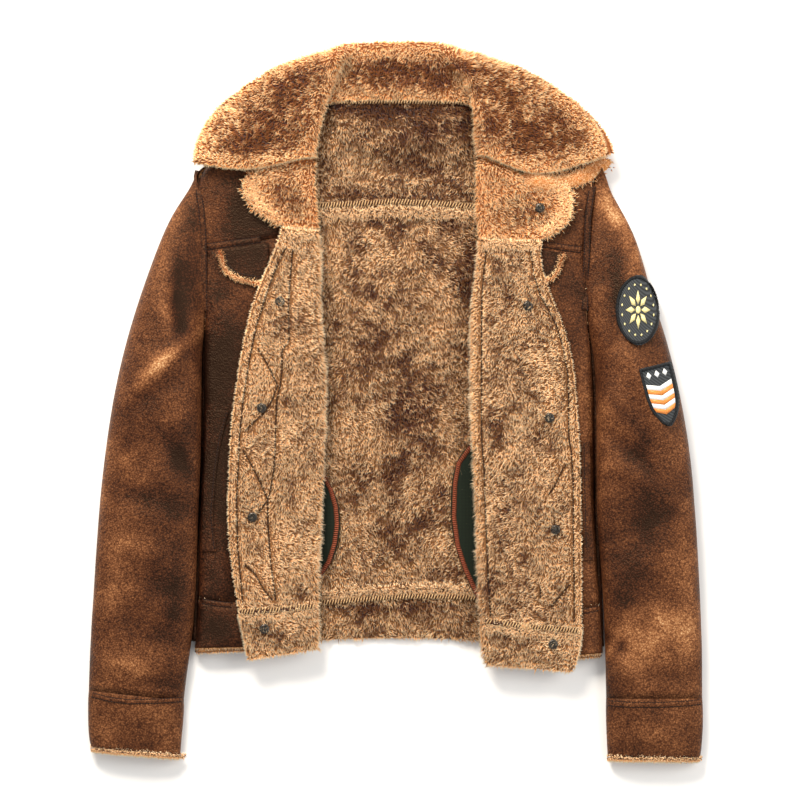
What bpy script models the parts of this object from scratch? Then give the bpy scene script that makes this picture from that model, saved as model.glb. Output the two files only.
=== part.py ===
"""A short leather jacket lined with fleece, laid flat on its back with both fronts turned open.

Sizes are in millimetres and become metres in `solid`. +Y points from the hem to the collar, +Z up
from the surface that the jacket lies on. "R" and "L" are the wearer's sides: R lies at -X.
The cloth is one bonded material, suede outside and a dense pile inside, so every panel is one wall.
"""

import math

import bmesh
import bpy
from mathutils import Vector
from mathutils.bvhtree import BVHTree

MM = 0.001  # metres in a millimetre
SEAM = 0.3  # clearance between two pieces that are sewn together
CLOTH = 5.0  # suede with its pile
SLEEVE_WALL = 4.5
COLLAR_LEAF = 4.5  # each of the collar's two layers
BACK_Z = 2.5  # middle of the back's wall, which lies on the floor
FRONT_Z = 19.5  # middle of a front's wall, over the back
CURL = 8.35  # how far a wall runs while it curls round to its side seam
SIGN = {"R": -1, "L": 1}
SHARP = math.radians(50.0)  # faces that meet more sharply than this are shaded as an edge
FLOOR_GRIP = 0.05  # a point this low is set down on the floor

# Outline of the body from the hem up the side, the armhole and the shoulder.
# y, x, then the middle height of the front's wall and of the back's wall there
EDGE = {
    "R": [
        (-282.4, -224.4, 11.15, 10.85),
        (-256.5, -221.6, 11.15, 10.85),
        (-226.1, -220.5, 11.15, 10.85),
        (-166.5, -219.4, 11.15, 10.85),
        (-110.2, -218.7, 11.15, 10.85),
        (-65.2, -216.0, 11.15, 10.85),
        (-20.2, -214.3, 11.15, 10.85),
        (36.0, -214.3, 11.15, 10.85),
        (72.0, -213.8, 11.15, 10.85),
        (88.9, -212.8, 15.5, 6.0),
        (114.8, -212.6, 19.5, 2.5),
        (171.0, -214.2, 19.5, 2.5),
        (221.6, -217.5, 19.5, 2.5),
        (244.1, -220.5, 17.0, 5.0),
        (257.6, -222.8, 11.15, 10.85),
        (263.2, -216.0, 11.15, 10.85),
        (284.6, -181.1, 11.15, 10.85),
        (309.4, -141.8, 11.15, 10.85),
        (328.0, -103.0, 11.15, 10.85),
    ],
    "L": [
        (-286.9, 230.6, 11.15, 10.85),
        (-256.5, 229.5, 11.15, 10.85),
        (-229.5, 227.6, 11.15, 10.85),
        (-166.5, 223.3, 11.15, 10.85),
        (-110.2, 220.5, 11.15, 10.85),
        (-65.2, 220.5, 11.15, 10.85),
        (-20.2, 220.5, 11.15, 10.85),
        (30.4, 219.9, 11.15, 10.85),
        (58.5, 218.2, 11.15, 10.85),
        (77.6, 214.9, 15.5, 6.0),
        (111.4, 212.1, 19.5, 2.5),
        (171.0, 213.2, 19.5, 2.5),
        (221.6, 217.5, 19.5, 2.5),
        (243.0, 221.6, 17.0, 5.0),
        (256.5, 225.6, 11.15, 10.85),
        (263.2, 218.2, 11.15, 10.85),
        (284.6, 183.4, 11.15, 10.85),
        (309.4, 144.0, 11.15, 10.85),
        (328.0, 105.0, 11.15, 10.85),
    ],
}

# Fronts, from the yoke seam to the hem band.
# y at the side, fold x, fold y, free edge x, free edge y, crest height, edge height
FRONT = {
    "R": [
        (172.1, -88.9, 191.2, -127.1, 194.6, 29.5, 29.5),
        (157.5, -87.8, 168.8, -136.1, 166.5, 30.0, 30.0),
        (137.2, -87.8, 139.5, -148.5, 139.5, 30.0, 29.8),
        (109.1, -87.8, 111.4, -159.8, 111.4, 30.0, 28.5),
        (75.4, -85.5, 75.4, -168.8, 75.4, 30.0, 27.0),
        (36.0, -82.1, 36.0, -175.5, 36.0, 30.0, 26.2),
        (2.2, -81.0, 2.2, -180.0, 2.2, 30.0, 26.0),
        (-31.5, -82.1, -31.5, -184.5, -31.5, 30.0, 26.0),
        (-76.5, -84.4, -76.5, -186.8, -76.5, 30.0, 26.0),
        (-121.5, -86.6, -121.5, -187.9, -121.5, 30.0, 26.0),
        (-155.2, -87.8, -155.2, -186.8, -156.4, 30.0, 26.0),
        (-191.2, -90.0, -194.6, -181.1, -198.0, 30.0, 26.0),
        (-223.0, -90.0, -231.0, -175.5, -237.6, 30.0, 26.0),
    ],
    "L": [
        (168.8, 95.6, 182.2, 163.1, 178.9, 29.5, 29.5),
        (155.2, 94.5, 164.2, 159.8, 162.0, 30.0, 30.0),
        (137.2, 91.1, 139.5, 165.4, 139.5, 30.0, 29.8),
        (111.4, 88.3, 111.4, 176.6, 109.1, 30.0, 28.5),
        (77.6, 86.1, 75.4, 191.2, 75.4, 30.0, 27.0),
        (36.0, 86.6, 36.0, 199.1, 36.0, 30.0, 26.2),
        (2.2, 86.1, 2.2, 201.4, 2.2, 30.0, 26.0),
        (-31.5, 87.8, -31.5, 203.6, -31.5, 30.0, 26.0),
        (-76.5, 90.0, -76.5, 205.9, -76.5, 30.0, 26.0),
        (-121.5, 92.2, -121.5, 206.4, -121.5, 30.0, 26.0),
        (-155.2, 93.4, -157.5, 207.0, -158.6, 30.0, 26.0),
        (-191.2, 94.5, -200.2, 207.0, -202.5, 30.0, 26.0),
        (-229.8, 96.8, -247.8, 207.0, -255.6, 30.0, 26.0),
    ],
}
# Hem bands of the fronts, the same columns; the first row is the front's last one, a seam lower
FRONT_BAND = {
    "R": [
        (-256.5, -88.9, -256.5, -169.9, -265.5, 29.0, 26.0),
        (-273.4, -88.9, -270.0, -167.6, -281.2, 28.4, 26.0),
        (-282.4, -88.9, -276.8, -165.4, -289.1, 28.0, 25.6),
    ],
    "L": [
        (-262.1, 99.0, -273.4, 204.8, -281.2, 29.0, 26.0),
        (-279.0, 100.1, -285.8, 201.4, -294.8, 28.4, 26.0),
        (-286.9, 104.6, -294.8, 196.9, -302.6, 28.0, 25.6),
    ],
}

# Front yokes, from the yoke seam up to the neck: y at the armhole or shoulder, neck x, neck y
FRONT_YOKE = {
    "R": [
        (172.5, -106.0, 188.9),
        (202.5, -108.6, 211.5),
        (223.9, -109.4, 231.8),
        (246.4, -109.7, 252.0),
        (263.2, -109.5, 268.0),
        (284.6, -106.3, 290.0),
        (307.0, -105.4, 309.6),
        (321.0, -105.2, 321.5),
    ],
    "L": [
        (169.3, 110.4, 181.0),
        (202.5, 113.3, 206.5),
        (223.9, 113.3, 228.8),
        (246.4, 113.1, 250.0),
        (263.2, 112.7, 267.0),
        (284.6, 108.3, 289.0),
        (307.0, 108.6, 309.6),
        (321.0, 108.2, 321.5),
    ],
}

# Collar stands: the ends of the collar below its leaves, folded back with the fronts.
# neck seam x, y, fold x, y, free edge x, y
STAND_Z = 26.6  # middle of the turned-back layer, under the collar's leaf
STAND = {
    "R": [
        (-108.0, 271.6, -94.3, 272.6, -156.0, 262.0),
        (-109.0, 263.2, -93.9, 264.4, -166.5, 254.5),
        (-109.0, 250.9, -93.9, 250.9, -170.5, 244.0),
        (-108.5, 238.5, -93.9, 237.4, -166.0, 231.8),
        (-108.0, 225.0, -92.8, 223.9, -156.5, 218.2),
        (-106.3, 212.6, -91.7, 212.6, -143.0, 208.1),
        (-105.2, 202.5, -90.6, 203.6, -131.6, 202.4),
        (-104.2, 195.2, -89.4, 197.0, -126.6, 198.8),
    ],
    "L": [
        (111.0, 272.4, 94.6, 274.4, 166.0, 246.0),
        (112.3, 262.0, 93.4, 263.6, 182.0, 245.5),
        (112.7, 249.8, 92.8, 252.0, 193.0, 236.8),
        (112.7, 236.2, 92.8, 236.2, 197.0, 221.6),
        (112.7, 222.8, 92.8, 220.5, 194.0, 207.0),
        (112.7, 209.2, 93.9, 207.0, 186.5, 195.8),
        (112.2, 196.8, 95.1, 195.6, 173.0, 188.2),
        (110.8, 186.4, 95.9, 186.8, 163.4, 183.6),
    ],
}

# Sleeves from the armhole to the cuff seam: outer edge x, y, inner edge x, y, height
SLEEVE = {
    "R": [
        (-223.2, 257.6, -216.6, 72.0, 21.6),
        (-236.2, 240.8, -217.6, 67.0, 27.0),
        (-252.0, 213.8, -218.2, 56.2, 35.0),
        (-267.8, 176.6, -218.4, 38.2, 43.0),
        (-281.2, 139.5, -218.6, 15.8, 48.0),
        (-297.0, 92.2, -218.6, -11.2, 50.0),
        (-309.4, 47.2, -218.6, -42.8, 50.0),
        (-319.5, -1.1, -219.6, -76.5, 48.0),
        (-327.4, -54.0, -221.6, -115.9, 45.0),
        (-334.1, -110.2, -223.0, -155.2, 42.0),
        (-338.6, -177.8, -224.2, -200.2, 39.0),
        (-343.1, -245.2, -227.6, -256.5, 36.0),
        (-345.9, -292.5, -234.0, -298.1, 32.0),
        (-346.5, -324.0, -238.5, -335.2, 30.0),
    ],
    "L": [
        (226.0, 256.5, 220.0, 62.0, 21.6),
        (241.9, 227.2, 222.4, 51.8, 27.0),
        (258.8, 191.2, 223.6, 38.2, 35.0),
        (274.5, 154.1, 224.4, 22.5, 43.0),
        (288.0, 120.4, 224.8, 2.2, 48.0),
        (301.5, 81.0, 225.0, -25.9, 50.0),
        (313.9, 36.0, 225.0, -54.0, 50.0),
        (324.0, -11.2, 225.0, -85.5, 48.0),
        (331.9, -59.6, 225.2, -119.2, 45.0),
        (336.4, -110.2, 227.4, -155.2, 42.0),
        (340.9, -177.8, 231.2, -198.0, 39.0),
        (344.2, -245.2, 234.4, -256.5, 36.0),
        (345.4, -292.5, 235.4, -295.9, 32.0),
        (345.4, -333.0, 236.2, -333.0, 30.0),
    ],
}
# Cuffs, the same columns; the first ring is the sleeve's last one, a seam lower
CUFF = {
    "R": [
        (-347.6, -335.2, -237.9, -345.4, 29.5),
        (-347.6, -357.8, -239.6, -365.6, 28.0),
        (-346.5, -381.4, -241.9, -388.1, 26.0),
        (-344.2, -392.0, -242.4, -400.5, 25.0),
    ],
    "L": [
        (346.5, -344.2, 235.7, -344.2, 29.5),
        (346.5, -366.8, 236.2, -366.8, 28.0),
        (344.8, -392.6, 237.4, -391.5, 26.0),
        (343.1, -403.5, 237.9, -402.4, 25.0),
    ],
}
RING_TOP, RING_BOTTOM = 15, 9  # points over the top of a sleeve's ring, and along its underside
RING_BELLY = 0.4  # height of a ring's widest point, as a share of the ring's height
HUG = [1.0, 0.3, 0.0]  # how far the first rings follow the armhole

# Largest folds of the sleeves: start x, y, end x, y, half width, height (a trough is below 0)
SLEEVE_FOLDS = {
    "R": [
        (-245.0, 142.0, -237.0, 81.0, 12.0, -5.0),
        (-290.0, 19.0, -226.0, 75.0, 16.0, 3.5),
        (-260.0, -37.0, -226.0, -88.0, 14.0, -4.5),
        (-322.0, -93.0, -232.0, -121.0, 12.0, -4.0),
        (-330.0, -150.0, -250.0, -175.0, 15.0, 3.0),
        (-300.0, -250.0, -236.0, -275.0, 11.0, -3.5),
        (-335.0, -290.0, -260.0, -305.0, 10.0, 2.5),
    ],
    "L": [
        (252.0, 169.0, 237.0, 64.0, 12.0, -5.0),
        (262.0, 55.0, 300.0, -35.0, 16.0, 3.0),
        (232.0, -30.0, 285.0, -75.0, 14.0, -4.0),
        (240.0, -150.0, 320.0, -120.0, 13.0, -3.5),
        (232.0, -264.0, 263.0, -281.0, 10.0, -4.0),
        (235.0, -285.0, 275.0, -313.0, 12.0, 3.0),
    ],
}
# Back: rows across it from the neck down, y at the sides and y in the middle
BACK_STEPS = 16  # between the two side curls
BACK_YOKE = [
    (328.0, 340.6),
    (318.0, 327.0),
    (307.0, 313.0),
    (292.0, 297.0),
    (276.0, 280.0),
    (263.2, 266.0),
    (257.0, 258.0),
    (246.0, 247.0),
    (232.0, 236.0),
    (219.4, 225.4),
]
BACK_PANEL = [
    (219.0, 225.0),
    (196.0, 200.0),
    (171.0, 172.0),
    (143.0, 143.0),
    (114.8, 114.8),
    (92.0, 92.0),
    (72.0, 72.0),
    (54.0, 54.0),
    (36.0, 36.0),
    (8.0, 8.0),
    (-30.0, -30.0),
    (-65.0, -65.0),
    (-110.0, -110.0),
    (-160.0, -160.0),
    (-195.0, -190.0),
    (-227.0, -219.0),
]
BACK_BAND = [(-227.4, -219.4), (-245.0, -232.0), (-262.0, -250.0), (-282.4, -266.0)]
BACK_BEND = {"back_yoke": 3.5, "back_panel": 2.0, "back_band": 2.0}  # how late a row bends to its ends
NECK_RISE = 10.7  # how far the back yoke rises there, over the collar's back leaf
NECK_RISE_FROM, NECK_RISE_RUN = 258.0, 50.0  # y where the rise starts, and its run to the neck
NECK_HALF, NECK_SHOULDER = 96.0, 22.0  # x where the rise ends, and the run over which it fades
NECK_CURL_CLEAR = 20.0  # it also fades over this run beside a shoulder's curl

# Largest creases of the lining over the back: the columns of SLEEVE_FOLDS
LINING_FOLDS = [
    (4.0, 210.0, 50.0, 160.0, 12.0, -1.0),
    (-57.0, 34.0, 5.0, 47.0, 9.0, 1.2),
    (27.0, 38.0, 66.0, 45.0, 9.0, 1.2),
    (-4.0, 30.0, -2.0, -175.0, 16.0, -0.8),
    (-60.0, 120.0, 20.0, 135.0, 14.0, 0.8),
]

# Collar, from the wearer's right front round the back of the neck to the left front:
# neck seam x, y, z, roll x, y, z, mid-leaf x, y, z, leaf edge x, y, z, turn, peek.
# turn 0 lays the leaf on top of its stand and 180 behind it; peek is how far the under
# layer shows past the upper one.
COLLAR = [
    (-105.6, 279.4, 21.0, -95.2, 277.2, 28.0, -160.0, 258.5, 34.6, -225.0, 269.0, 31.0, 0, 2),
    (-104.6, 292.5, 21.0, -92.2, 296.0, 28.0, -152.0, 290.0, 35.0, -221.0, 291.0, 28.0, 0, 2),
    (-102.4, 308.2, 20.5, -87.8, 319.5, 29.0, -146.2, 319.5, 34.0, -211.0, 313.5, 24.0, 10, 2),
    (-99.0, 320.6, 17.5, -82.1, 342.0, 32.0, -132.8, 344.2, 31.0, -187.5, 338.6, 18.0, 35, 2),
    (-93.4, 333.2, 14.0, -75.4, 366.8, 35.0, -110.2, 367.5, 27.0, -156.5, 360.0, 13.0, 65, 2),
    (-83.2, 336.9, 13.0, -69.8, 384.8, 33.0, -90.0, 389.0, 19.0, -119.2, 381.0, 9.0, 95, 2),
    (-67.5, 339.9, 14.0, -58.0, 396.5, 22.0, -76.0, 390.0, 9.0, -90.0, 373.5, 5.2, 140, 0),
    (-47.2, 341.0, 15.0, -42.8, 401.0, 11.0, -47.5, 362.2, 5.0, -50.0, 321.5, 5.0, 180, 0),
    (0.0, 341.4, 15.4, 0.0, 401.6, 10.2, 0.0, 360.0, 5.0, 0.0, 313.0, 5.0, 180, 0),
    (47.2, 341.0, 15.0, 45.0, 401.0, 11.0, 49.5, 362.2, 5.0, 50.0, 321.5, 5.0, 180, 0),
    (67.5, 339.9, 14.0, 62.0, 396.0, 22.0, 80.0, 390.0, 9.0, 92.2, 373.5, 5.2, 140, 0),
    (84.4, 336.9, 13.0, 74.2, 381.4, 33.0, 96.0, 387.0, 19.0, 123.0, 378.5, 9.0, 95, 4),
    (95.6, 333.2, 14.0, 85.5, 362.2, 35.0, 122.6, 368.0, 27.0, 164.0, 360.0, 13.0, 65, 7),
    (101.2, 320.6, 17.5, 91.1, 339.8, 32.0, 139.5, 342.0, 31.0, 198.0, 336.0, 18.0, 35, 8),
    (104.4, 308.2, 20.5, 92.2, 317.2, 29.0, 150.8, 317.2, 34.0, 220.0, 312.8, 24.0, 10, 8),
    (106.2, 294.8, 21.0, 92.2, 298.4, 28.0, 153.0, 283.8, 35.0, 230.5, 293.6, 28.0, 0, 8),
    (108.8, 279.8, 21.0, 94.8, 281.0, 28.0, 156.0, 248.0, 34.6, 235.0, 277.5, 31.0, 0, 8),
]
ROLL_RADIUS = {"front": 7.0, "back": 5.2}

# Chest-pocket flaps: x, y at the yoke seam, then x, y at the flap's lower edge
FLAP = {
    "R": [
        (-199.0, 170.6, -198.6, 163.0),
        (-195.0, 171.2, -191.5, 152.0),
        (-188.0, 172.3, -184.0, 142.0),
        (-176.0, 174.1, -173.0, 137.0),
        (-160.0, 176.5, -160.0, 135.0),
        (-143.0, 179.1, -143.0, 133.5),
    ],
    "L": [
        (191.0, 167.4, 190.0, 161.0),
        (188.0, 167.8, 184.0, 152.0),
        (184.0, 168.3, 179.0, 143.0),
        (178.0, 169.1, 172.0, 136.5),
        (170.0, 170.1, 164.0, 134.0),
        (150.0, 172.8, 148.0, 132.0),
    ],
}
FLAP_THICK = 3.4

# Hand-pocket welts, from the top end down: y, x at the side, x at the slanted mouth
WELT = {
    "R": [
        (-9.0, -211.0, -188.0),
        (-43.0, -211.5, -196.5),
        (-76.0, -213.0, -202.0),
        (-127.0, -215.0, -206.0),
        (-168.0, -216.0, -202.0),
    ],
    "L": [
        (-43.0, 216.0, 209.0),
        (-80.0, 216.5, 209.5),
        (-120.0, 217.0, 210.5),
        (-165.0, 220.0, 211.5),
        (-178.0, 220.5, 210.0),
    ],
}
WELT_THICK = 1.6

# Pocket bags, loose over the lining: y, x at the free edge. They run back under the front.
BAG_Z = 9.5
BAG_THICK = 2.0
BAG_INNER_X = 150.0  # how far out a bag runs, under the front
BAG = {
    "R": [
        (-76.0, -84.0),
        (-88.0, -76.0),
        (-104.0, -68.0),
        (-121.0, -63.6),
        (-138.0, -62.4),
        (-155.0, -64.0),
        (-172.0, -68.5),
        (-186.0, -75.0),
        (-198.0, -84.5),
        (-203.0, -91.0),
    ],
    "L": [
        (-45.0, 85.0),
        (-55.0, 76.0),
        (-66.0, 68.0),
        (-84.0, 63.4),
        (-110.0, 61.4),
        (-138.0, 62.0),
        (-162.0, 66.0),
        (-186.0, 74.0),
        (-208.0, 84.0),
        (-234.0, 95.0),
    ],
}

# Press studs on the turned-back fronts: x, y
STUD_RADIUS = 5.6
STUD_SIDES = 12
STUDS = {
    "R": [(-130.2, 113.2), (-150.8, -6.8), (-161.2, -129.3), (-147.8, -254.8)],
    "L": [(161.6, 217.9), (147.9, 107.7), (172.5, -17.8), (179.2, -143.4), (176.4, -272.1)],
}
# profile of one stud from its middle out: radius as a share of the stud's, height
STUD_PROFILE = [(0.0, 1.5), (0.4, 1.5), (0.6, 2.9), (0.88, 2.1), (1.0, 0.0)]

# Two embroidered patches on the left sleeve: an oval as it lies round the sleeve, and a shield
PATCH_THICK = 1.6
PATCH_CLEAR = 1.3  # over the round of the sleeve
ROUND_PATCH = {"x": 271.5, "y": 102.5, "half_width": 24.0, "half_height": 39.5}
SHIELD_TILT = math.radians(14.0)
SHIELD_PATCH = {"x": 297.5, "y": 8.0, "half_width": 18.5}
# rows of the shield from its top: height over its middle, half width as a share of the largest
SHIELD_ROWS = [
    (34.0, 0.97),
    (28.0, 1.0),
    (14.0, 1.0),
    (0.0, 0.99),
    (-12.0, 0.9),
    (-22.0, 0.7),
    (-30.0, 0.42),
    (-36.0, 0.1),
]

# Strips over the armhole seams: from the shoulder down the front, narrower below STRIP_TAPER_FROM
STRIP_TOP, STRIP_END = 247.0, 100.0  # y
STRIP_STEPS = 12
STRIP_IN, STRIP_WIDE = -1.0, 8.0  # its inner edge from the seam, and its width
STRIP_TAPER_FROM, STRIP_TAPER_RUN, STRIP_TAPER = 170.0, 70.0, 0.45
STRIP_Z, STRIP_RISE = 23.3, 3.0  # height of its inner edge, and its rise towards the sleeve
STRIP_THICK = 1.6

COLOURS = {  # linear red, green, blue, then roughness and metallic
    "suede": ((0.26, 0.1, 0.035), 0.62, 0.0),
    "fleece": ((0.55, 0.27, 0.09), 0.95, 0.0),
    "collar fleece": ((0.5, 0.19, 0.05), 0.95, 0.0),
    "pocketing": ((0.015, 0.02, 0.012), 0.8, 0.0),
    "gunmetal": ((0.08, 0.075, 0.07), 0.35, 1.0),
    "badge cloth": ((0.02, 0.022, 0.024), 0.85, 0.0),
}


def clear_scene():
    for obj in list(bpy.data.objects):
        bpy.data.objects.remove(obj, do_unlink=True)


def material(kind):
    made = bpy.data.materials.get(kind)
    if made:
        return made
    colour, roughness, metallic = COLOURS[kind]
    made = bpy.data.materials.new(kind)
    made.use_nodes = True
    shader = made.node_tree.nodes["Principled BSDF"]
    shader.inputs["Base Color"].default_value = (*colour, 1.0)
    shader.inputs["Roughness"].default_value = roughness
    shader.inputs["Metallic"].default_value = metallic
    return made


def solid(name, points, faces, kind):
    """One closed body from points in millimetres. What would sink into the floor is set on it."""
    grounded = [(p[0] * MM, p[1] * MM, (p[2] if p[2] > FLOOR_GRIP else 0.0) * MM) for p in points]
    mesh = bpy.data.meshes.new(name)
    mesh.from_pydata(grounded, [], faces)
    shape = bmesh.new()
    shape.from_mesh(mesh)
    bmesh.ops.recalc_face_normals(shape, faces=shape.faces)
    bmesh.ops.triangulate(shape, faces=shape.faces)
    shape.to_mesh(mesh)
    shape.free()
    mesh.materials.append(material(kind))
    mesh.shade_smooth()
    mesh.set_sharp_from_angle(angle=SHARP)
    obj = bpy.data.objects.new(name, mesh)
    bpy.context.scene.collection.objects.link(obj)
    return obj


def ease(t):
    """0 to 1 with a soft start and end."""
    t = min(max(t, 0.0), 1.0)
    return t * t * (3.0 - 2.0 * t)


def smooth_rows(rows, steps):
    """The rows of a table with steps to each gap, on a curve through all of them."""
    made = []
    for i in range(len(rows) - 1):
        near = [rows[min(max(j, 0), len(rows) - 1)] for j in (i - 1, i, i + 1, i + 2)]
        for k in range(steps):
            t = k / steps
            made.append(
                tuple(
                    0.5
                    * (
                        2 * b
                        + (c - a) * t
                        + (2 * a - 5 * b + 4 * c - d) * t**2
                        + (3 * b - a - 3 * c + d) * t**3
                    )
                    for a, b, c, d in zip(*near)
                )
            )
    return made + [tuple(rows[-1])]


def at(rows, key):
    """The columns after the first one of a table, where its first column is key."""
    rows = sorted(rows)
    key = min(max(key, rows[0][0]), rows[-1][0])
    for low, high in zip(rows, rows[1:]):
        if key <= high[0]:
            t = (key - low[0]) / (high[0] - low[0])
            return [a + (b - a) * t for a, b in zip(low[1:], high[1:])]


def relief(folds, x, y):
    """Height of the folds of a table at a point."""
    height = 0.0
    for x0, y0, x1, y1, width, crest in folds:
        run = Vector((x1 - x0, y1 - y0))
        here = Vector((x - x0, y - y0))
        t = min(max(here.dot(run) / run.length_squared, 0.0), 1.0)
        away = (here - run * t).length / width
        height += crest * math.exp(-away * away) * math.sin(math.pi * (0.12 + 0.76 * t))
    return height


def grid_normals(rows):
    normals = []
    for i, row in enumerate(rows):
        line = []
        for j in range(len(row)):
            if j in (0, len(row) - 1):  # a curve's own slope at its end, not its last chord's
                a, b, c = (row[0], row[1], row[2]) if j == 0 else (row[-3], row[-2], row[-1])
                along = b * 4 - a * 3 - c if j == 0 else a - b * 4 + c * 3
            else:
                along = row[j + 1] - row[j - 1]
            down = rows[min(i + 1, len(rows) - 1)][j] - rows[max(i - 1, 0)][j]
            line.append(along.cross(down).normalized())
        normals.append(line)
    return normals


def wall(name, rows, thick, kind, lift=None):
    """A cloth wall on a grid of its middle points. lift(point) raises its face along the normal."""
    normals = grid_normals(rows)
    if sum(n.z for line in normals for n in line) < 0:
        normals = [[-n for n in line] for line in normals]
    count, width = len(rows), len(rows[0])
    upper, lower = [], []
    for row, line in zip(rows, normals):
        for p, n in zip(row, line):
            raised = lift(p) if lift else 0.0
            upper.append(p + n * (thick / 2 + raised))
            lower.append(p - n * (thick / 2))
    last = count * width
    faces = []
    for i in range(count - 1):
        for j in range(width - 1):
            a = i * width + j
            quad = (a, a + 1, a + width + 1, a + width)
            faces.append(quad)
            faces.append(tuple(last + v for v in reversed(quad)))
    rim = [j for j in range(width)]
    rim += [i * width + width - 1 for i in range(1, count)]
    rim += [(count - 1) * width + j for j in reversed(range(width - 1))]
    rim += [i * width for i in reversed(range(1, count - 1))]
    for a, b in zip(rim, rim[1:] + rim[:1]):
        faces.append((b, a, a + last, b + last))
    return solid(name, upper + lower, faces, kind)


def tube(name, outer, inner, kind):
    """An open-ended tube between two sets of rings."""
    count, width = len(outer), len(outer[0])
    last = count * width
    faces = []
    for i in range(count - 1):
        for j in range(width):
            a, b = i * width + j, i * width + (j + 1) % width
            faces.append((a, b, b + width, a + width))
            faces.append((last + a + width, last + b + width, last + b, last + a))
    for i in (0, count - 1):
        for j in range(width):
            a, b = i * width + j, i * width + (j + 1) % width
            quad = (a, a + last, b + last, b)
            faces.append(quad if i == 0 else tuple(reversed(quad)))
    return solid(name, [p for ring in outer + inner for p in ring], faces, kind)


# ---------------------------------------------------------------- body


def curl_turn(flat_z, end_z):
    """How far a wall has turned by its edge, when the edge lies off the level of its flat."""
    return math.acos(1 - min(abs(flat_z - end_z) / CURL, 1.0))


def curl(start, end_z, inward, flat_z, steps=3):
    """Points from the edge of a panel round to its flat. inward is a flat unit vector."""
    turn = curl_turn(flat_z, end_z)
    made = []
    for k in range(steps + 1):
        left = turn * (1 - k / steps)
        run = CURL * (math.sin(turn) - math.sin(left) + (1 - math.sin(turn)) * k / steps)
        flat = start + inward * run
        drop = math.copysign(CURL * (1 - math.cos(left)), flat_z - end_z)
        made.append(Vector((flat.x, flat.y, flat_z - drop)))
    return made


def front_path(side, row):
    """Side seam, curl, flat, fold at the opening, then the turned-back layer to the free edge."""
    side_y, fold_x, fold_y, edge_x, edge_y, crest, edge_z = row
    side_x, side_z, _ = at(EDGE[side], side_y)
    start, fold, edge = Vector((side_x, side_y)), Vector((fold_x, fold_y)), Vector((edge_x, edge_y))
    inward = (fold - start).normalized()
    outward = (edge - fold).normalized()
    radius = (crest - FRONT_Z) / 2
    path = curl(start, side_z, inward, FRONT_Z)
    run = (fold - start).length - radius
    for k in range(1, 6):
        flat = start + inward * (CURL + (run - CURL) * k / 5)
        path.append(Vector((flat.x, flat.y, FRONT_Z)))
    for k in range(1, 7):
        turn = math.pi * (k / 6 - 0.5)
        way = inward if turn < 0 else -outward
        flat = fold + way * radius * (math.cos(turn) - 1)
        path.append(Vector((flat.x, flat.y, FRONT_Z + radius * (1 + math.sin(turn)))))
    back = (edge - fold).length
    for k in range(1, 7):
        t = k / 6
        flat = fold + outward * (radius + (back - radius) * t)
        path.append(Vector((flat.x, flat.y, crest + (edge_z - crest) * ease(t))))
    return path


def lowered(row, columns):
    """A table row moved down by the clearance of a seam, in the named columns."""
    return tuple(v - SEAM if i in columns else v for i, v in enumerate(row))


def make_front(side):
    rows = [front_path(side, row) for row in FRONT[side]]
    wall(f"front_panel_{side}", rows, CLOTH, "suede")
    first = lowered(FRONT[side][-1], (0, 2, 4))
    band = [front_path(side, row) for row in [first] + FRONT_BAND[side]]
    wall(f"front_band_{side}", band, CLOTH, "suede")


def make_front_yoke(side):
    rows = []
    for side_y, neck_x, neck_y in FRONT_YOKE[side]:
        side_x, side_z, _ = at(EDGE[side], side_y)
        start, neck = Vector((side_x, side_y)), Vector((neck_x, neck_y))
        inward = (neck - start).normalized()
        path = curl(start, side_z, inward, FRONT_Z)
        run = (neck - start).length
        for k in range(1, 6):
            flat = start + inward * (CURL + (run - CURL) * k / 5)
            path.append(Vector((flat.x, flat.y, FRONT_Z)))
        rows.append(path)
    wall(f"front_yoke_{side}", rows, CLOTH, "suede")


def neck_lift(x, y, end_x):
    """The yoke rises at the neck, because the collar's back leaf is folded in under it."""
    clear = min(abs(x - end_x), abs(x + end_x)) - CURL
    across = ease((NECK_HALF - abs(x)) / NECK_SHOULDER) * ease(clear / NECK_CURL_CLEAR)
    return NECK_RISE * ease((y - NECK_RISE_FROM) / NECK_RISE_RUN) * across


def back_row(end_y, middle_y, bend):
    """A row across the back from side to side, curled up to each side seam."""
    right_x, _, right_z = at(EDGE["R"], end_y)
    left_x, _, left_z = at(EDGE["L"], end_y)
    right = curl(Vector((right_x, end_y)), right_z, Vector((1, 0)), BACK_Z)
    left = curl(Vector((left_x, end_y)), left_z, Vector((-1, 0)), BACK_Z)
    path = list(right)
    for k in range(1, BACK_STEPS):
        t = k / BACK_STEPS
        x = right[-1].x + (left[-1].x - right[-1].x) * t
        y = middle_y + (end_y - middle_y) * abs(2 * t - 1) ** bend
        path.append(Vector((x, y, BACK_Z + neck_lift(x, y, left_x))))
    return path + left[::-1]


def lining_relief(p):
    return relief(LINING_FOLDS, p.x, p.y)


def make_back():
    panels = (
        ("back_yoke", BACK_YOKE, None),
        ("back_panel", BACK_PANEL, lining_relief),
        ("back_band", BACK_BAND, None),
    )
    for name, table, lift in panels:
        rows = [back_row(end_y, middle_y, BACK_BEND[name]) for end_y, middle_y in table]
        wall(name, rows, CLOTH, "suede", lift)


# ---------------------------------------------------------------- sleeves


def armhole_x(side, y):
    """Where the body's outer face ends beside the armhole, with the clearance of the seam."""
    x, front_z, _ = at(EDGE[side], y)
    return x + SIGN[side] * (math.sin(curl_turn(FRONT_Z, front_z)) * CLOTH / 2 + 1.5 * SEAM)


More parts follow.
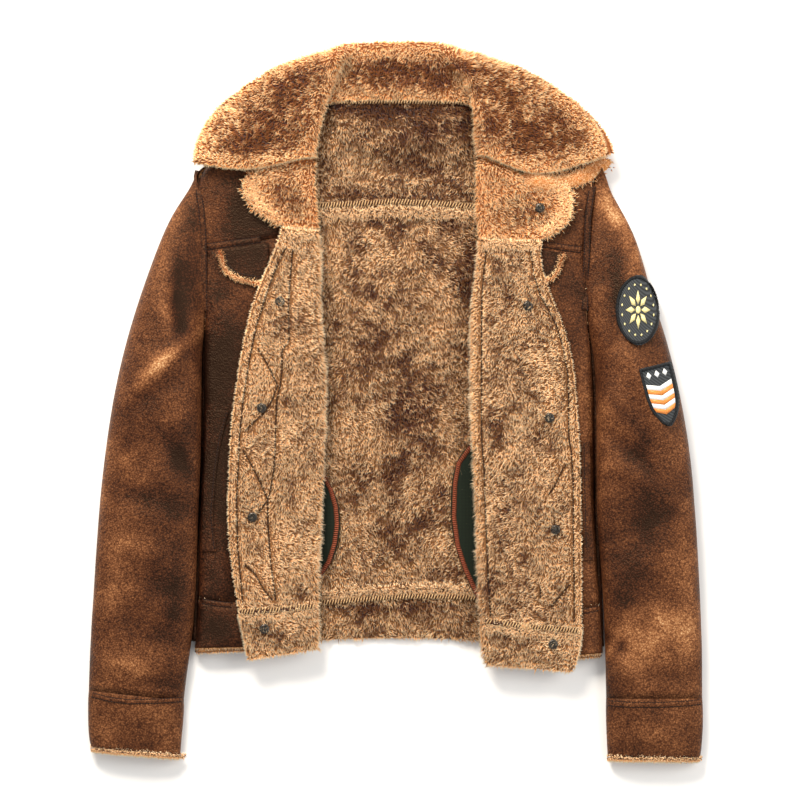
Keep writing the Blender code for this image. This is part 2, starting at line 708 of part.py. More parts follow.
def sleeve_ring(side, row, inset, hug):
    """A ring round the sleeve, flat on the floor. hug 1 bends it along the armhole, 0 not."""
    outer, inner, height = Vector(row[0:2]), Vector(row[2:4]), row[4]
    middle = (outer + inner) / 2
    half = (inner - outer).length / 2
    along = (inner - outer).normalized()
    belly = RING_BELLY * height
    ring = []
    for k in range(RING_TOP + 1):
        turn = math.pi * k / RING_TOP
        level = -math.copysign(abs(math.cos(turn)) ** 0.85, math.cos(turn))
        rise = belly + (height - inset - belly) * math.sin(turn) ** 0.8
        ring.append([level, rise, math.sin(turn)])
    for k in range(1, RING_BOTTOM):
        level = math.cos(math.pi * k / RING_BOTTOM)
        under = min((1 - abs(level)) * half / belly, 1.0)
        fall = belly - (belly - inset) * math.sqrt(1 - (1 - under) ** 2)
        ring.append([level, fall, 0.0])
    points = []
    for level, z, top in ring:
        flat = middle + along * level * (half - inset)
        if hug:
            flat.x += hug * (armhole_x(side, flat.y) - flat.x)
        z += relief(SLEEVE_FOLDS[side], flat.x, flat.y) * top
        points.append(Vector((flat.x, flat.y, z)))
    return points


def make_sleeve(side):
    rows = SLEEVE[side]
    hugs = HUG + [0.0] * (len(rows) - len(HUG))
    outer = [sleeve_ring(side, row, 0.0, hug) for row, hug in zip(rows, hugs)]
    inner = [sleeve_ring(side, row, SLEEVE_WALL, hug) for row, hug in zip(rows, hugs)]
    tube(f"sleeve_{side}", outer, inner, "suede")
    cuff = [lowered(rows[-1], (1, 3))] + CUFF[side]
    tube(
        f"cuff_{side}",
        [sleeve_ring(side, row, 0.0, 0.0) for row in cuff],
        [sleeve_ring(side, row, SLEEVE_WALL, 0.0) for row in cuff],
        "suede",
    )


# ---------------------------------------------------------------- collar


def collar_path(row, before, after):
    """Neck seam, stand, roll and leaf of one station, with the way its layers lie apart."""
    seam, roll = Vector(row[0:3]), Vector(row[3:6])
    leaf, edge = Vector(row[6:9]), Vector(row[9:12])
    turn = math.radians(row[12])
    tangent = Vector(after[3:5]) - Vector(before[3:5])
    outside = Vector((-tangent.y, tangent.x, 0)).normalized()
    over = Vector((0, 0, math.cos(turn))) + outside * math.sin(turn)
    crest = (roll - seam).normalized() + (roll - leaf).normalized()
    crest = (crest - over * crest.dot(over)).normalized()
    tighter = (ROLL_RADIUS["back"] - ROLL_RADIUS["front"]) * ease(row[12] / 180)
    radius = ROLL_RADIUS["front"] + tighter
    rise = roll - crest * radius - over * radius
    fall = roll - crest * radius + over * radius
    stand = (rise - seam).length
    path = []
    for t in (0, 0.33, 0.67):
        straight = seam + (rise - seam) * t
        eased = seam.lerp(rise - crest * (1 - t) * stand, t)
        path.append(straight.lerp(eased, t))
    for k in range(5):
        angle = math.pi * (k / 4 - 0.5)
        path.append(roll - crest * radius * (1 - math.cos(angle)) + over * radius * math.sin(angle))
    for t in (0.25, 0.5, 0.75):
        bow = (fall * (1 - t) ** 2 + leaf * 2 * t * (1 - t) + edge * t**2) * 0.5  # half of each
        straight = fall.lerp(leaf, 2 * t) if t < 0.5 else leaf.lerp(edge, 2 * t - 1)
        path.append(bow + straight * 0.5)
    return path + [edge]


def make_collar():
    stations = smooth_rows(COLLAR, 2)
    middle = []
    for i, row in enumerate(stations):
        before, after = stations[max(i - 1, 0)], stations[min(i + 1, len(stations) - 1)]
        middle.append(collar_path(row, before, after))
    normals = grid_normals(middle)
    apart = (COLLAR_LEAF + SEAM) / 2
    upper, under = [], []
    for path, line, row in zip(middle, normals, stations):
        tip = (path[-1] - path[-2]).normalized()
        upper.append([p - n * apart for p, n in zip(path, line)])
        below = [p + n * apart for p, n in zip(path, line)]
        below[-1] = below[-1] + tip * row[13]
        under.append(below)
    wall("collar_upper", upper, COLLAR_LEAF, "collar fleece")
    wall("collar_under", under, COLLAR_LEAF, "collar fleece")


def make_stand(side):
    """The collar's end below the leaf: out from the neck seam, folded, and back over it."""
    rows = []
    radius = (STAND_Z - FRONT_Z) / 2
    for seam_x, seam_y, fold_x, fold_y, edge_x, edge_y in STAND[side]:
        seam, fold = Vector((seam_x, seam_y)), Vector((fold_x, fold_y))
        edge = Vector((edge_x, edge_y))
        inward, outward = (fold - seam).normalized(), (edge - fold).normalized()
        run, back = (fold - seam).length - radius, (edge - fold).length
        path = []
        for t in (0.0, 0.5, 1.0):
            flat = seam + inward * run * t
            path.append(Vector((flat.x, flat.y, FRONT_Z)))
        for k in range(1, 6):
            turn = math.pi * (k / 5 - 0.5)
            way = inward if turn < 0 else -outward
            flat = fold + way * radius * (math.cos(turn) - 1)
            path.append(Vector((flat.x, flat.y, FRONT_Z + radius * (1 + math.sin(turn)))))
        for t in (0.25, 0.5, 0.75, 1.0):
            flat = fold + outward * (radius + (back - radius) * t)
            path.append(Vector((flat.x, flat.y, STAND_Z)))
        rows.append(path)
    wall(f"collar_stand_{side}", rows, CLOTH, "fleece")


# ---------------------------------------------------------------- what lies on the panels


def surface_of(*names):
    graph = bpy.context.evaluated_depsgraph_get()
    return [BVHTree.FromObject(bpy.data.objects[name], graph) for name in names]


DROP_FROM = 200.0  # a point is dropped from this height, over everything
STEEP = 2.5  # rise for each millimetre of reach, past which the neighbour is another piece


def drop(trees, x, y, reach=4.0, home=None):
    """The highest point under (x, y) and the way its cloth faces, averaged over reach.

    A point past the edge of the cloth is drawn in towards home, a millimetre at a time."""

    def hit(px, py):
        found = [tree.ray_cast(Vector((px, py, DROP_FROM)) * MM, Vector((0, 0, -1))) for tree in trees]
        found = [(place.z / MM, normal) for place, normal, _, _ in found if place]
        return max(found, key=lambda pair: pair[0]) if found else None

    while hit(x, y) is None:
        x += math.copysign(1.0, home - x)
    height, facing = hit(x, y)
    for px, py in ((x - reach, y), (x + reach, y), (x, y - reach), (x, y + reach)):
        near = hit(px, py)
        if near and abs(near[0] - height) < STEEP * reach:
            facing = facing + near[1]
    return Vector((x, y, height)), facing.normalized()


def laid_on(name, grid, trees, thick, kind, clear=SEAM):
    """A thin piece whose flat grid of x, y is set down on the pieces under it."""
    rows = []
    for line in grid:
        row = []
        for x, y in line:
            place, normal = drop(trees, x, y, home=line[len(line) // 2][0])
            row.append(place + normal * (clear + thick / 2))
        rows.append(row)
    return wall(name, rows, thick, kind)


def make_flap(side):
    """Flat on the front's outer face, from the yoke seam down."""
    level = FRONT_Z + (CLOTH + FLAP_THICK) / 2 + SEAM
    rows = []
    for top_x, top_y, low_x, low_y in FLAP[side]:
        top, low = Vector((top_x, top_y, level)), Vector((low_x, low_y, level))
        rows.append([top.lerp(low, t) for t in (0, 0.33, 0.67, 1)])
    wall(f"pocket_flap_{side}", rows, FLAP_THICK, "suede")


def make_welt(side):
    """Laid on the front from its curl inward, so it follows the round of the side."""
    rows = []
    table = smooth_rows(WELT[side], 2)
    for y, side_x, mouth_x in table:
        row = []
        edge_x, edge_z, _ = at(EDGE[side], y)
        for t in (0, 0.25, 0.5, 0.75, 1):
            x = side_x + (mouth_x - side_x) * t
            share = min(abs(x - edge_x) / CURL, 1.0)
            turn = math.acos(1 - share)
            normal = Vector((SIGN[side] * math.cos(turn), 0, math.sin(turn)))
            middle = Vector((x, y, edge_z + (FRONT_Z - edge_z) * math.sin(turn)))
            row.append(middle + normal * (CLOTH / 2 + WELT_THICK / 2 + 2 * SEAM))
        rows.append(row)
    wall(f"pocket_welt_{side}", rows, WELT_THICK, "suede")


def make_bag(side):
    rows = []
    for y, edge_x in BAG[side]:
        inner_x = SIGN[side] * BAG_INNER_X
        rows.append([Vector((edge_x + (inner_x - edge_x) * t, y, BAG_Z)) for t in (0, 0.2, 0.45, 1)])
    wall(f"pocket_bag_{side}", rows, BAG_THICK, "pocketing")


def make_armhole_strip(side):
    """A strip of suede sewn over the armhole seam, from the shoulder down the front."""
    rows = []
    for k in range(STRIP_STEPS + 1):
        y = STRIP_TOP + (STRIP_END - STRIP_TOP) * k / STRIP_STEPS
        x = at(EDGE[side], y)[0]
        taper = 1.0 - STRIP_TAPER * ease((STRIP_TAPER_FROM - y) / STRIP_TAPER_RUN)
        row = []
        for t in (0.0, 0.5, 1.0):
            out = (STRIP_IN + STRIP_WIDE * t) * taper
            row.append(Vector((x + SIGN[side] * out, y, STRIP_Z + STRIP_RISE * t)))
        rows.append(row)
    wall(f"armhole_strip_{side}", rows, STRIP_THICK, "suede")


def make_stud(name, x, y, trees):
    """A press stud of a cap and its raised ring, turned round its own axis."""
    place, _ = drop(trees, x, y)
    base = place.z + 2 * SEAM
    sides = STUD_SIDES
    points, faces = [], []
    for share, height in STUD_PROFILE[1:]:
        for k in range(sides):
            turn = 2 * math.pi * k / sides
            radius = STUD_RADIUS * share
            points.append((x + radius * math.cos(turn), y + radius * math.sin(turn), base + height))
    levels = len(STUD_PROFILE) - 1
    points += [(x, y, base + STUD_PROFILE[0][1]), (x, y, base)]
    top, bottom = len(points) - 2, len(points) - 1
    for k in range(sides):
        n = (k + 1) % sides
        faces.append((top, k, n))
        for level in range(levels - 1):
            a, b = level * sides, (level + 1) * sides
            faces.append((a + k, b + k, b + n, a + n))
        low = (levels - 1) * sides
        faces.append((bottom, low + n, low + k))
    solid(name, points, faces, "gunmetal")


def make_patches():
    trees = surface_of("sleeve_L")
    oval = ROUND_PATCH
    grid = []
    for k in range(9):  # rows from near the oval's top to near its bottom
        up = math.cos(math.pi * (0.04 + 0.92 * k / 8))
        half = oval["half_width"] * math.sqrt(1 - up * up)
        y = oval["y"] + oval["half_height"] * up
        grid.append([(oval["x"] + half * across, y) for across in (-1, -0.75, -0.4, 0, 0.4, 0.75, 1)])
    laid_on("patch_round", grid, trees, PATCH_THICK, "badge cloth", PATCH_CLEAR)
    grid = []
    for up, wide in SHIELD_ROWS:
        line = []
        for across in (-1, -0.5, 0, 0.5, 1):
            x, y = SHIELD_PATCH["half_width"] * wide * across, up
            turned_x = x * math.cos(SHIELD_TILT) - y * math.sin(SHIELD_TILT)
            turned_y = x * math.sin(SHIELD_TILT) + y * math.cos(SHIELD_TILT)
            line.append((SHIELD_PATCH["x"] + turned_x, SHIELD_PATCH["y"] + turned_y))
        grid.append(line)
    laid_on("patch_shield", grid, trees, PATCH_THICK, "badge cloth", PATCH_CLEAR)


clear_scene()
make_back()
for wearer_side in ("R", "L"):
    make_front(wearer_side)
    make_front_yoke(wearer_side)
    make_sleeve(wearer_side)
    make_stand(wearer_side)
    make_flap(wearer_side)
    make_welt(wearer_side)
    make_bag(wearer_side)
    make_armhole_strip(wearer_side)
make_collar()
for wearer_side in ("R", "L"):
    carried_by = ("front_panel", "front_band", "collar_stand")
    carriers = surface_of(*(f"{part}_{wearer_side}" for part in carried_by))
    for number, (stud_x, stud_y) in enumerate(STUDS[wearer_side], 1):
        make_stud(f"press_stud_{wearer_side}{number}", stud_x, stud_y, carriers)
make_patches()
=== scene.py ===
"""Looks of a short jacket of bonded suede and fleece, laid flat on its back with its fronts open.

Lengths in the tables are millimetres. +X is the wearer's left, +Y runs from the hem to the
collar, +Z up from the floor. "R" and "L" in names are the wearer's sides.
"""

import math

import bmesh
import bpy
import numpy as np
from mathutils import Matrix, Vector
from mathutils.bvhtree import BVHTree
from mathutils.kdtree import KDTree


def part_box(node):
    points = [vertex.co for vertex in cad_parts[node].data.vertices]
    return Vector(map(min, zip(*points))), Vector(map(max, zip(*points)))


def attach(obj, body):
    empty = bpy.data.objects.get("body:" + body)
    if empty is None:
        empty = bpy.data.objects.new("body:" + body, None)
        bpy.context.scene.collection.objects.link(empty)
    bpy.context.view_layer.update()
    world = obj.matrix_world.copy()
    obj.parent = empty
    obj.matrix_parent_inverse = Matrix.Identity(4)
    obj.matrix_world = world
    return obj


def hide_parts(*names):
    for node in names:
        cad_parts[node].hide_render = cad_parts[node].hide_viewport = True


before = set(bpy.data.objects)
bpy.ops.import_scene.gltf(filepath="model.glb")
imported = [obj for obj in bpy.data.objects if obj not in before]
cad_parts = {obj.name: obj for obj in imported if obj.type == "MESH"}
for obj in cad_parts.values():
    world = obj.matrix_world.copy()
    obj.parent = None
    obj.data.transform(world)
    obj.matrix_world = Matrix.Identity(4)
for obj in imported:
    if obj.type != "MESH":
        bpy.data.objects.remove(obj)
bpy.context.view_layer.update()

# ------------------------------------------------------------------ back of the body
# The back is three pieces, yoke, panel and hem band, cut from one bonded cloth: suede
# outside, fleece inside. It lies suede down, so its fleece shows between the fronts.
# The suede is a thin skin here, on the outer face of each solid.

MM = 0.001
SHARP = math.radians(68)  # a cut edge of a cloth wall, between its two faces
SQUARE = math.radians(130)  # a rim that turns by more than 50 degrees has a corner there
OVERHEAD = 0.2  # metres, a height above the whole jacket
SUEDE_THICK = 1.3 * MM
CLOTH_FINENESS = 2  # how many times the CAD's faces are divided


def solid_of(node):
    """A working copy of a CAD solid, with its doubled points joined."""
    shape = bmesh.new()
    shape.from_mesh(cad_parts[node].data)
    bmesh.ops.remove_doubles(shape, verts=shape.verts, dist=0.01 * MM)
    bmesh.ops.recalc_face_normals(shape, faces=shape.faces)
    return shape


def two_sides(node, spot, wall=1.35):
    """Both faces of a CAD cloth wall, smoothed: the one that looks up at spot, then the other.

    A face of the wall has the other one close under it, no deeper than wall times the usual
    depth, and a cut edge looks along the cloth."""
    shape = solid_of(node)
    shape.faces.ensure_lookup_table()
    tree = BVHTree.FromBMesh(shape)
    depth = []
    for face in shape.faces:
        inward = -face.normal
        found = tree.ray_cast(face.calc_center_median() + inward * 0.05 * MM, inward)[3]
        depth.append(found if found else 1.0)
    cut = wall * sorted(depth)[len(depth) // 2]
    region, sizes = {}, []
    for seed in shape.faces:
        if seed.index in region or depth[seed.index] > cut:
            continue
        stack, area = [seed], 0.0
        region[seed.index] = len(sizes)
        while stack:
            face = stack.pop()
            area += face.calc_area()
            soft = [edge for edge in face.edges if edge.calc_face_angle(0) < SHARP]
            for near in {n for edge in soft for n in edge.link_faces}:
                if near.index not in region and depth[near.index] <= cut:
                    region[near.index] = len(sizes)
                    stack.append(near)
        sizes.append(area)
    for _ in range(6):  # a sharply bent face that the test of depth left out joins its neighbours
        for face in shape.faces:
            soft = [edge for edge in face.edges if edge.calc_face_angle(0) < SHARP]
            near = [region.get(n.index) for edge in soft for n in edge.link_faces if n != face]
            for number in set(near) - {None}:
                if near.count(number) > 1 and face.index not in region:
                    region[face.index] = number
    large = sorted(range(len(sizes)), key=lambda i: -sizes[i])[:2]
    index = tree.ray_cast(Vector((spot[0] * MM, spot[1] * MM, OVERHEAD)), Vector((0, 0, -1)))[2]
    if region.get(index) == large[1]:
        large.reverse()
    sides = []
    for wanted in large:
        part = shape.copy()
        bmesh.ops.delete(
            part, geom=[f for f in part.faces if region.get(f.index) != wanted], context="FACES"
        )
        sides.append(smoothed(part, CLOTH_FINENESS))
    shape.free()
    return sides


def smoothed(shape, levels, hard_edges=0.0):
    """Points and four-sided faces of a shape after Catmull-Clark subdivision. Its corners stay."""
    bmesh.ops.join_triangles(
        shape,
        faces=shape.faces,
        angle_face_threshold=math.radians(40),
        angle_shape_threshold=math.radians(180),
    )
    corner = shape.verts.layers.float.new("crease_vert")
    crease = shape.edges.layers.float.new("crease_edge")
    for vert in shape.verts:
        rim = [(e.other_vert(vert).co - vert.co) for e in vert.link_edges if e.is_boundary]
        if len(rim) == 2 and rim[0].angle(rim[1]) < SQUARE:
            vert[corner] = 1.0
    for edge in shape.edges:
        if hard_edges and edge.calc_face_angle(0) > SHARP:
            edge[crease] = hard_edges
    mesh = bpy.data.meshes.new("smoothing")
    shape.to_mesh(mesh)
    shape.free()
    carrier = bpy.data.objects.new("smoothing", mesh)
    bpy.context.scene.collection.objects.link(carrier)
    finer = carrier.modifiers.new("finer", "SUBSURF")
    finer.levels = finer.render_levels = levels
    made = carrier.evaluated_get(bpy.context.evaluated_depsgraph_get()).to_mesh()
    points = np.empty(len(made.vertices) * 3)
    made.vertices.foreach_get("co", points)
    corners = np.empty(len(made.loops), int)
    made.loops.foreach_get("vertex_index", corners)
    bpy.data.objects.remove(carrier)
    bpy.data.meshes.remove(mesh)
    return points.reshape(-1, 3), corners.reshape(-1, 4)


def normals_of(points, quads):
    """The way that a face of the cloth looks at each of its points."""
    across = points[quads[:, 2]] - points[quads[:, 0]]
    down = points[quads[:, 3]] - points[quads[:, 1]]
    flat = np.cross(across, down)
    normals = np.zeros_like(points)
    for k in range(4):
        np.add.at(normals, quads[:, k], flat)
    return normals / np.maximum(np.linalg.norm(normals, axis=1), 1e-12)[:, None]


def rim_of(quads):
    """The edges that only one face uses, each in that face's own direction."""
    edges = np.concatenate([quads[:, [k, (k + 1) % 4]] for k in range(4)])
    _, inverse, counts = np.unique(
        np.sort(edges, axis=1), axis=0, return_inverse=True, return_counts=True
    )
    return edges[counts[inverse.reshape(-1)] == 1]


def shell(points, quads, thick):
    """A closed thin wall from its outer face, with the other face thick inside it."""
    count = len(points)
    inner = points - normals_of(points, quads) * thick
    rim = rim_of(quads)
    edge = np.column_stack([rim[:, 1], rim[:, 0], rim[:, 0] + count, rim[:, 1] + count])
    return np.concatenate([points, inner]), np.concatenate(
        [quads, quads[:, ::-1] + count, edge]
    )


def piece(name, points, faces, material, slot, stands_for=(), **values):
    """A mesh of the object, riding on its one body. values are numbers kept at its points."""
    mesh = bpy.data.meshes.new(name)
    mesh.from_pydata(np.asarray(points).tolist(), [], getattr(faces, "tolist", lambda: faces)())
    mesh.shade_smooth()
    mesh.materials.append(material)
    for key, column in values.items():
        column = np.broadcast_to(np.asarray(column, np.float32), len(mesh.vertices))
        mesh.attributes.new(key, "FLOAT", "POINT").data.foreach_set("value", column.copy())
    made = bpy.data.objects.new(name, mesh)
    bpy.context.scene.collection.objects.link(made)
    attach(made, "root")
    if stands_for:
        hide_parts(*stands_for)
    return made


def plan_of(points):
    """x and y of some points, in millimetres."""
    return points[:, 0] / MM, points[:, 1] / MM


DRIFT_CELLS = 61  # so many patches each way before the field repeats


def drift(x, y, size, seed):
    """A smooth random field from -1 to 1 with patches about size across, in millimetres."""
    cells = DRIFT_CELLS
    table = np.random.default_rng(seed).uniform(-1, 1, (cells, cells))
    u, v = x / size + 0.37 * y / size, y / size - 0.31 * x / size
    i, j = np.floor(u).astype(int), np.floor(v).astype(int)
    s, t = u - i, v - j
    s, t = s * s * (3 - 2 * s), t * t * (3 - 2 * t)
    i, j, k, m = i % cells, j % cells, (i + 1) % cells, (j + 1) % cells
    low = table[i, j] * (1 - s) + table[k, j] * s
    high = table[i, m] * (1 - s) + table[k, m] * s
    return low * (1 - t) + high * t


def linear(colour, alpha=1.0):
    """An sRGB hex colour as Blender's linear values."""
    parts = [int(colour[i : i + 2], 16) / 255 for i in (1, 3, 5)]
    return [p / 12.92 if p <= 0.04045 else ((p + 0.055) / 1.055) ** 2.4 for p in parts] + [alpha]


def add(tree, kind, inputs=(), stops=(), **settings):
    """A shader node with its settings, values and links, and the colours of a ramp."""
    node = tree.nodes.new("ShaderNode" + kind)
    for key, value in settings.items():
        setattr(node, key, value)
    for key, value in dict(inputs).items():
        if isinstance(value, bpy.types.NodeSocket):
            tree.links.new(value, node.inputs[key])
        else:
            node.inputs[key].default_value = value
    for k, (place, colour) in enumerate(stops):
        stop = node.color_ramp.elements[k] if k < 2 else node.color_ramp.elements.new(place)
        stop.position, stop.color = place, linear(colour)
    return node


def finish_of(name):
    """A new material, with its tree and its shader."""
    made = bpy.data.materials.new(name)
    made.use_nodes = True
    return made, made.node_tree, made.node_tree.nodes["Principled BSDF"]


# Bonded suede, printed and waxed: a saddle brown that is rubbed dark in clouds and paler
# where it is worn, with a fine pebbled grain that gives it a dull, broken shine.
# Sizes of its clouds, blotches, rubbed spots and pebbles. The real pebbles are about
# 0.8 mm and are drawn at 1.9 mm, so that they show at all.
SUEDE_CLOUD, SUEDE_BLOTCH, SUEDE_RUB, SUEDE_GRAIN = 70, 24, 2.8, 1.9
suede, tree, shader = finish_of("Waxed bonded suede")
place = add(tree, "TexCoord").outputs["Object"]
tone = add(tree, "Attribute", attribute_name="tone").outputs["Fac"]
cloud, blotch, rub = (
    add(tree, "TexNoise", {"Vector": place, "Scale": 1000 / size, **shape})
    for size, shape in (
        (SUEDE_CLOUD, {"Detail": 5, "Distortion": 0.6}),
        (SUEDE_BLOTCH, {"Detail": 6, "Roughness": 0.65}),
        (SUEDE_RUB, {"Detail": 5, "Roughness": 0.7}),
    )
)
grain = add(tree, "TexVoronoi", {"Vector": place, "Scale": 1000 / SUEDE_GRAIN, "Randomness": 1.0})
level = tone
for source, weight in ((cloud, 0.42), (blotch, 0.5), (rub, 0.8)):
    centred = add(tree, "Math", {0: source.outputs["Fac"], 1: 0.5}, operation="SUBTRACT")
    level = add(
        tree, "Math", {0: centred.outputs[0], 1: weight, 2: level}, operation="MULTIPLY_ADD"
    ).outputs[0]
level = add(
    tree, "Math", {0: grain.outputs["Distance"], 1: -0.42, 2: level}, operation="MULTIPLY_ADD"
).outputs[0]
brown = add(
    tree,
    "ValToRGB",
    {"Fac": level},
    stops=[
        (0.0, "#1A0C07"),
        (1.0, "#E2BC90"),
        (0.14, "#321910"),
        (0.32, "#4D2B18"),
        (0.48, "#6B4228"),
        (0.64, "#8F5E3A"),
        (0.82, "#B5875C"),
    ],
)
worn = {"Value": level, "From Min": 0.1, "From Max": 0.9, "To Min": 0.42, "To Max": 0.62}
dull = add(tree, "MapRange", worn)
fine = add(tree, "Math", {0: grain.outputs["Distance"], 1: rub.outputs["Fac"]}, operation="ADD")
pebbles = add(tree, "Bump", {"Height": fine.outputs[0], "Strength": 0.8, "Distance": 0.7 * MM})
pucker = {"Height": blotch.outputs["Fac"], "Strength": 0.45, "Distance": 2.2 * MM}
puckers = add(tree, "Bump", {**pucker, "Normal": pebbles.outputs[0]})
tree.links.new(brown.outputs["Color"], shader.inputs["Base Color"])
tree.links.new(dull.outputs["Result"], shader.inputs["Roughness"])
tree.links.new(puckers.outputs["Normal"], shader.inputs["Normal"])
shader.inputs["IOR"].default_value = 1.5
shader.inputs["Specular IOR Level"].default_value = 0.24
shader.inputs["Specular Tint"].default_value = linear("#F0C8A0")

# a point of the lining, the flat cut's width and length in metres, its share that is cloth
BACK = {
    "back_yoke": ((0, 300), (0.45, 0.125), 0.95),
    "back_panel": ((0, 0), (0.45, 0.45), 0.97),
    "back_band": ((0, -250), (0.46, 0.07), 0.95),
}
back_linings, back_skins = {}, {}
for node, (spot, flat, share) in BACK.items():
    back_linings[node], outside = two_sides(node, spot)
    x, y = plan_of(outside[0])
    points, faces = shell(*outside, SUEDE_THICK)
    tone = 0.5 + 0.12 * drift(x, y, 90, 5)
    back_skins[node] = piece(
        node + "_suede", points, faces, suede, "suede", (node,), tone=np.tile(tone, 2)
    )

# ------------------------------------------------------------------ lining of the back
# The inside of the same cloth: a dense polyester fleece, sheared, brushed and tipped, rust
# brown at the root and cream at the tip. It is a mat of backing with pointed tufts on it,
# which draw together into locks.

MAT_SINK, MAT_THICK = 1.5, 2.0
MAT_HEIGHT = 0.12  # its colour is that of the tufts this far up, dark as painted shade between them
TUFT_WIDE, TUFT_LONG = 1.5, 7.4  # real strands are 0.1 mm thick, and show only as tufts
TUFT_LEAN = 0.8, 0.2  # radians from upright, and the spread of that
LOCK = 3.6  # how wide a lock of tufts is
LOCK_CELLS = 97  # so many locks each way before they repeat
STITCH_BARE, STITCH_NEAR = 1.3, 4  # no tufts, then shorter ones, as near as this to stitches


def patches(x, y, table):
    """Soft oval patches: middle x, y, half length, half width, turn in degrees, amount."""
    total = np.zeros_like(x)
    for px, py, long, wide, turn, amount in table:
        c, s = math.cos(math.radians(turn)), math.sin(math.radians(turn))
        along, across = (x - px) * c + (y - py) * s, (y - py) * c - (x - px) * s
        total += amount * np.exp(-((along / long) ** 2 + (across / wide) ** 2))
    return total


def creases(x, y, table):
    """Soft ridges and troughs: start x, y, end x, y, half width, height (a trough is below 0)."""
    height = np.zeros_like(x)
    for x0, y0, x1, y1, width, crest in table:
        run = (x1 - x0) ** 2 + (y1 - y0) ** 2
        t = np.clip(((x - x0) * (x1 - x0) + (y - y0) * (y1 - y0)) / run, 0, 1)
        away = np.hypot(x - x0 - t * (x1 - x0), y - y0 - t * (y1 - y0)) / width
        height += crest * np.exp(-away * away) * np.sin(math.pi * (0.1 + 0.8 * t))
    return height


def off_lines(x, y, lines):
    """Distance of each point to the nearest of some polylines."""
    least = np.full_like(x, 1e3)
    for line in lines:
        for (x0, y0), (x1, y1) in zip(line, line[1:]):
            run = max((x1 - x0) ** 2 + (y1 - y0) ** 2, 1e-9)
            t = np.clip(((x - x0) * (x1 - x0) + (y - y0) * (y1 - y0)) / run, 0, 1)
            least = np.minimum(least, np.hypot(x - x0 - t * (x1 - x0), y - y0 - t * (y1 - y0)))
    return least


def ruffled(points, quads, table, lumps, seed):
    """A face with its creases and soft lumps raised along its normals."""
    x, y = plan_of(points)
    puff = creases(x, y, table) + lumps * (drift(x, y, 17, seed) + 0.6 * drift(x, y, 8, seed + 1))
    normals = normals_of(points, quads)
    puff *= np.clip(normals[:, 2] * 2, 0, 1)
    return points + normals * (puff * MM)[:, None]


def pile_sheen_of(points, quads, reach, most):
    """How much paler the pile is painted at an edge or a fold, where it is seen from its side: a
    painted sheen.
    """
    turned = np.nonzero(np.abs(normals_of(points, quads)[:, 2]) < 0.4)[0]
    seeds = np.unique(np.concatenate([rim_of(quads).reshape(-1), turned]))
    tree = KDTree(len(seeds))
    for place, seed in enumerate(seeds):
        tree.insert(points[seed], place)
    tree.balance()
    gap = np.array([tree.find(point)[2] for point in points]) / MM
    return most * np.exp(-((gap / reach) ** 2))


def tufts(points, quads, per_mm2, seed, keep, light, lay, lines=(), long=TUFT_LONG, sink=MAT_SINK):
    """Pointed tufts all over a face. light is kept at its points, keep(x, y, up) is the share of
    tufts that stay there, and lay(x, y) is the way that the pile is brushed, in radians. Along
    lines, which are rows of stitches, the tufts are short and dark, pressed down and with painted
    shade in the groove, and with a painted highlight on the paler swell beside."""
    rng = np.random.default_rng(seed)
    normals = normals_of(points, quads)
    thirds = np.concatenate([quads[:, :3], quads[:, [0, 2, 3]]])
    a, b, c = (points[thirds[:, k]] for k in range(3))
    area = np.linalg.norm(np.cross(b - a, c - a), axis=1) / 2
    number = int(area.sum() / MM**2 * per_mm2)
    chosen = rng.choice(len(thirds), number, p=area / area.sum())
    u, v = rng.random(number), rng.random(number)
    u, v = np.where(u + v > 1, 1 - u, u), np.where(u + v > 1, 1 - v, v)
    weights = np.column_stack([1 - u - v, u, v])[:, :, None]
    root = (points[thirds[chosen]] * weights).sum(1)
    up = (normals[thirds[chosen]] * weights).sum(1)
    up /= np.linalg.norm(up, axis=1)[:, None]
    shade = (light[thirds[chosen]] * weights[:, :, 0]).sum(1)
    x, y = plan_of(root)
    gap = off_lines(x, y, lines)
    stay = (rng.random(number) < keep(x, y, up)) & (gap > STITCH_BARE)
    root, up, x, y, gap, shade = root[stay], up[stay], x[stay], y[stay], gap[stay], shade[stay]
    number = len(root)
    way = lay(x, y) + rng.normal(0, 0.5, number)
    flat = np.column_stack([np.cos(way), np.sin(way), np.zeros(number)])
    flat -= up * (flat * up).sum(1)[:, None]
    flat /= np.maximum(np.linalg.norm(flat, axis=1), 1e-6)[:, None]
    lean = np.clip(rng.normal(*TUFT_LEAN, number), 0.2, 1.25)[:, None]
    size = long * rng.uniform(0.75, 1.15, number) * np.clip(gap / STITCH_NEAR, 0.5, 1)
    size *= 1 + 0.2 * drift(x, y, 7, seed + 1)
    pull, mood = lock_of(x, y, seed)
    shade = shade + 0.3 * mood + 0.26 * drift(x, y, 5.2, seed + 2) + rng.normal(0, 0.13, number)
    # painted shade in the stitches' groove, and a painted highlight on the swell beside it
    shade += 0.22 * np.exp(-(((gap - 5) / 2.4) ** 2)) - 0.3 * np.exp(-((gap / 1.9) ** 2))
    aim = (up * np.cos(lean) + flat * np.sin(lean)) * size[:, None]
    aim += (pull - up * (pull * up).sum(1)[:, None]) * 0.8
    size = np.linalg.norm(aim, axis=1)
    return spikes(root - up * sink * MM, aim / size[:, None], up, size, rng, shade)


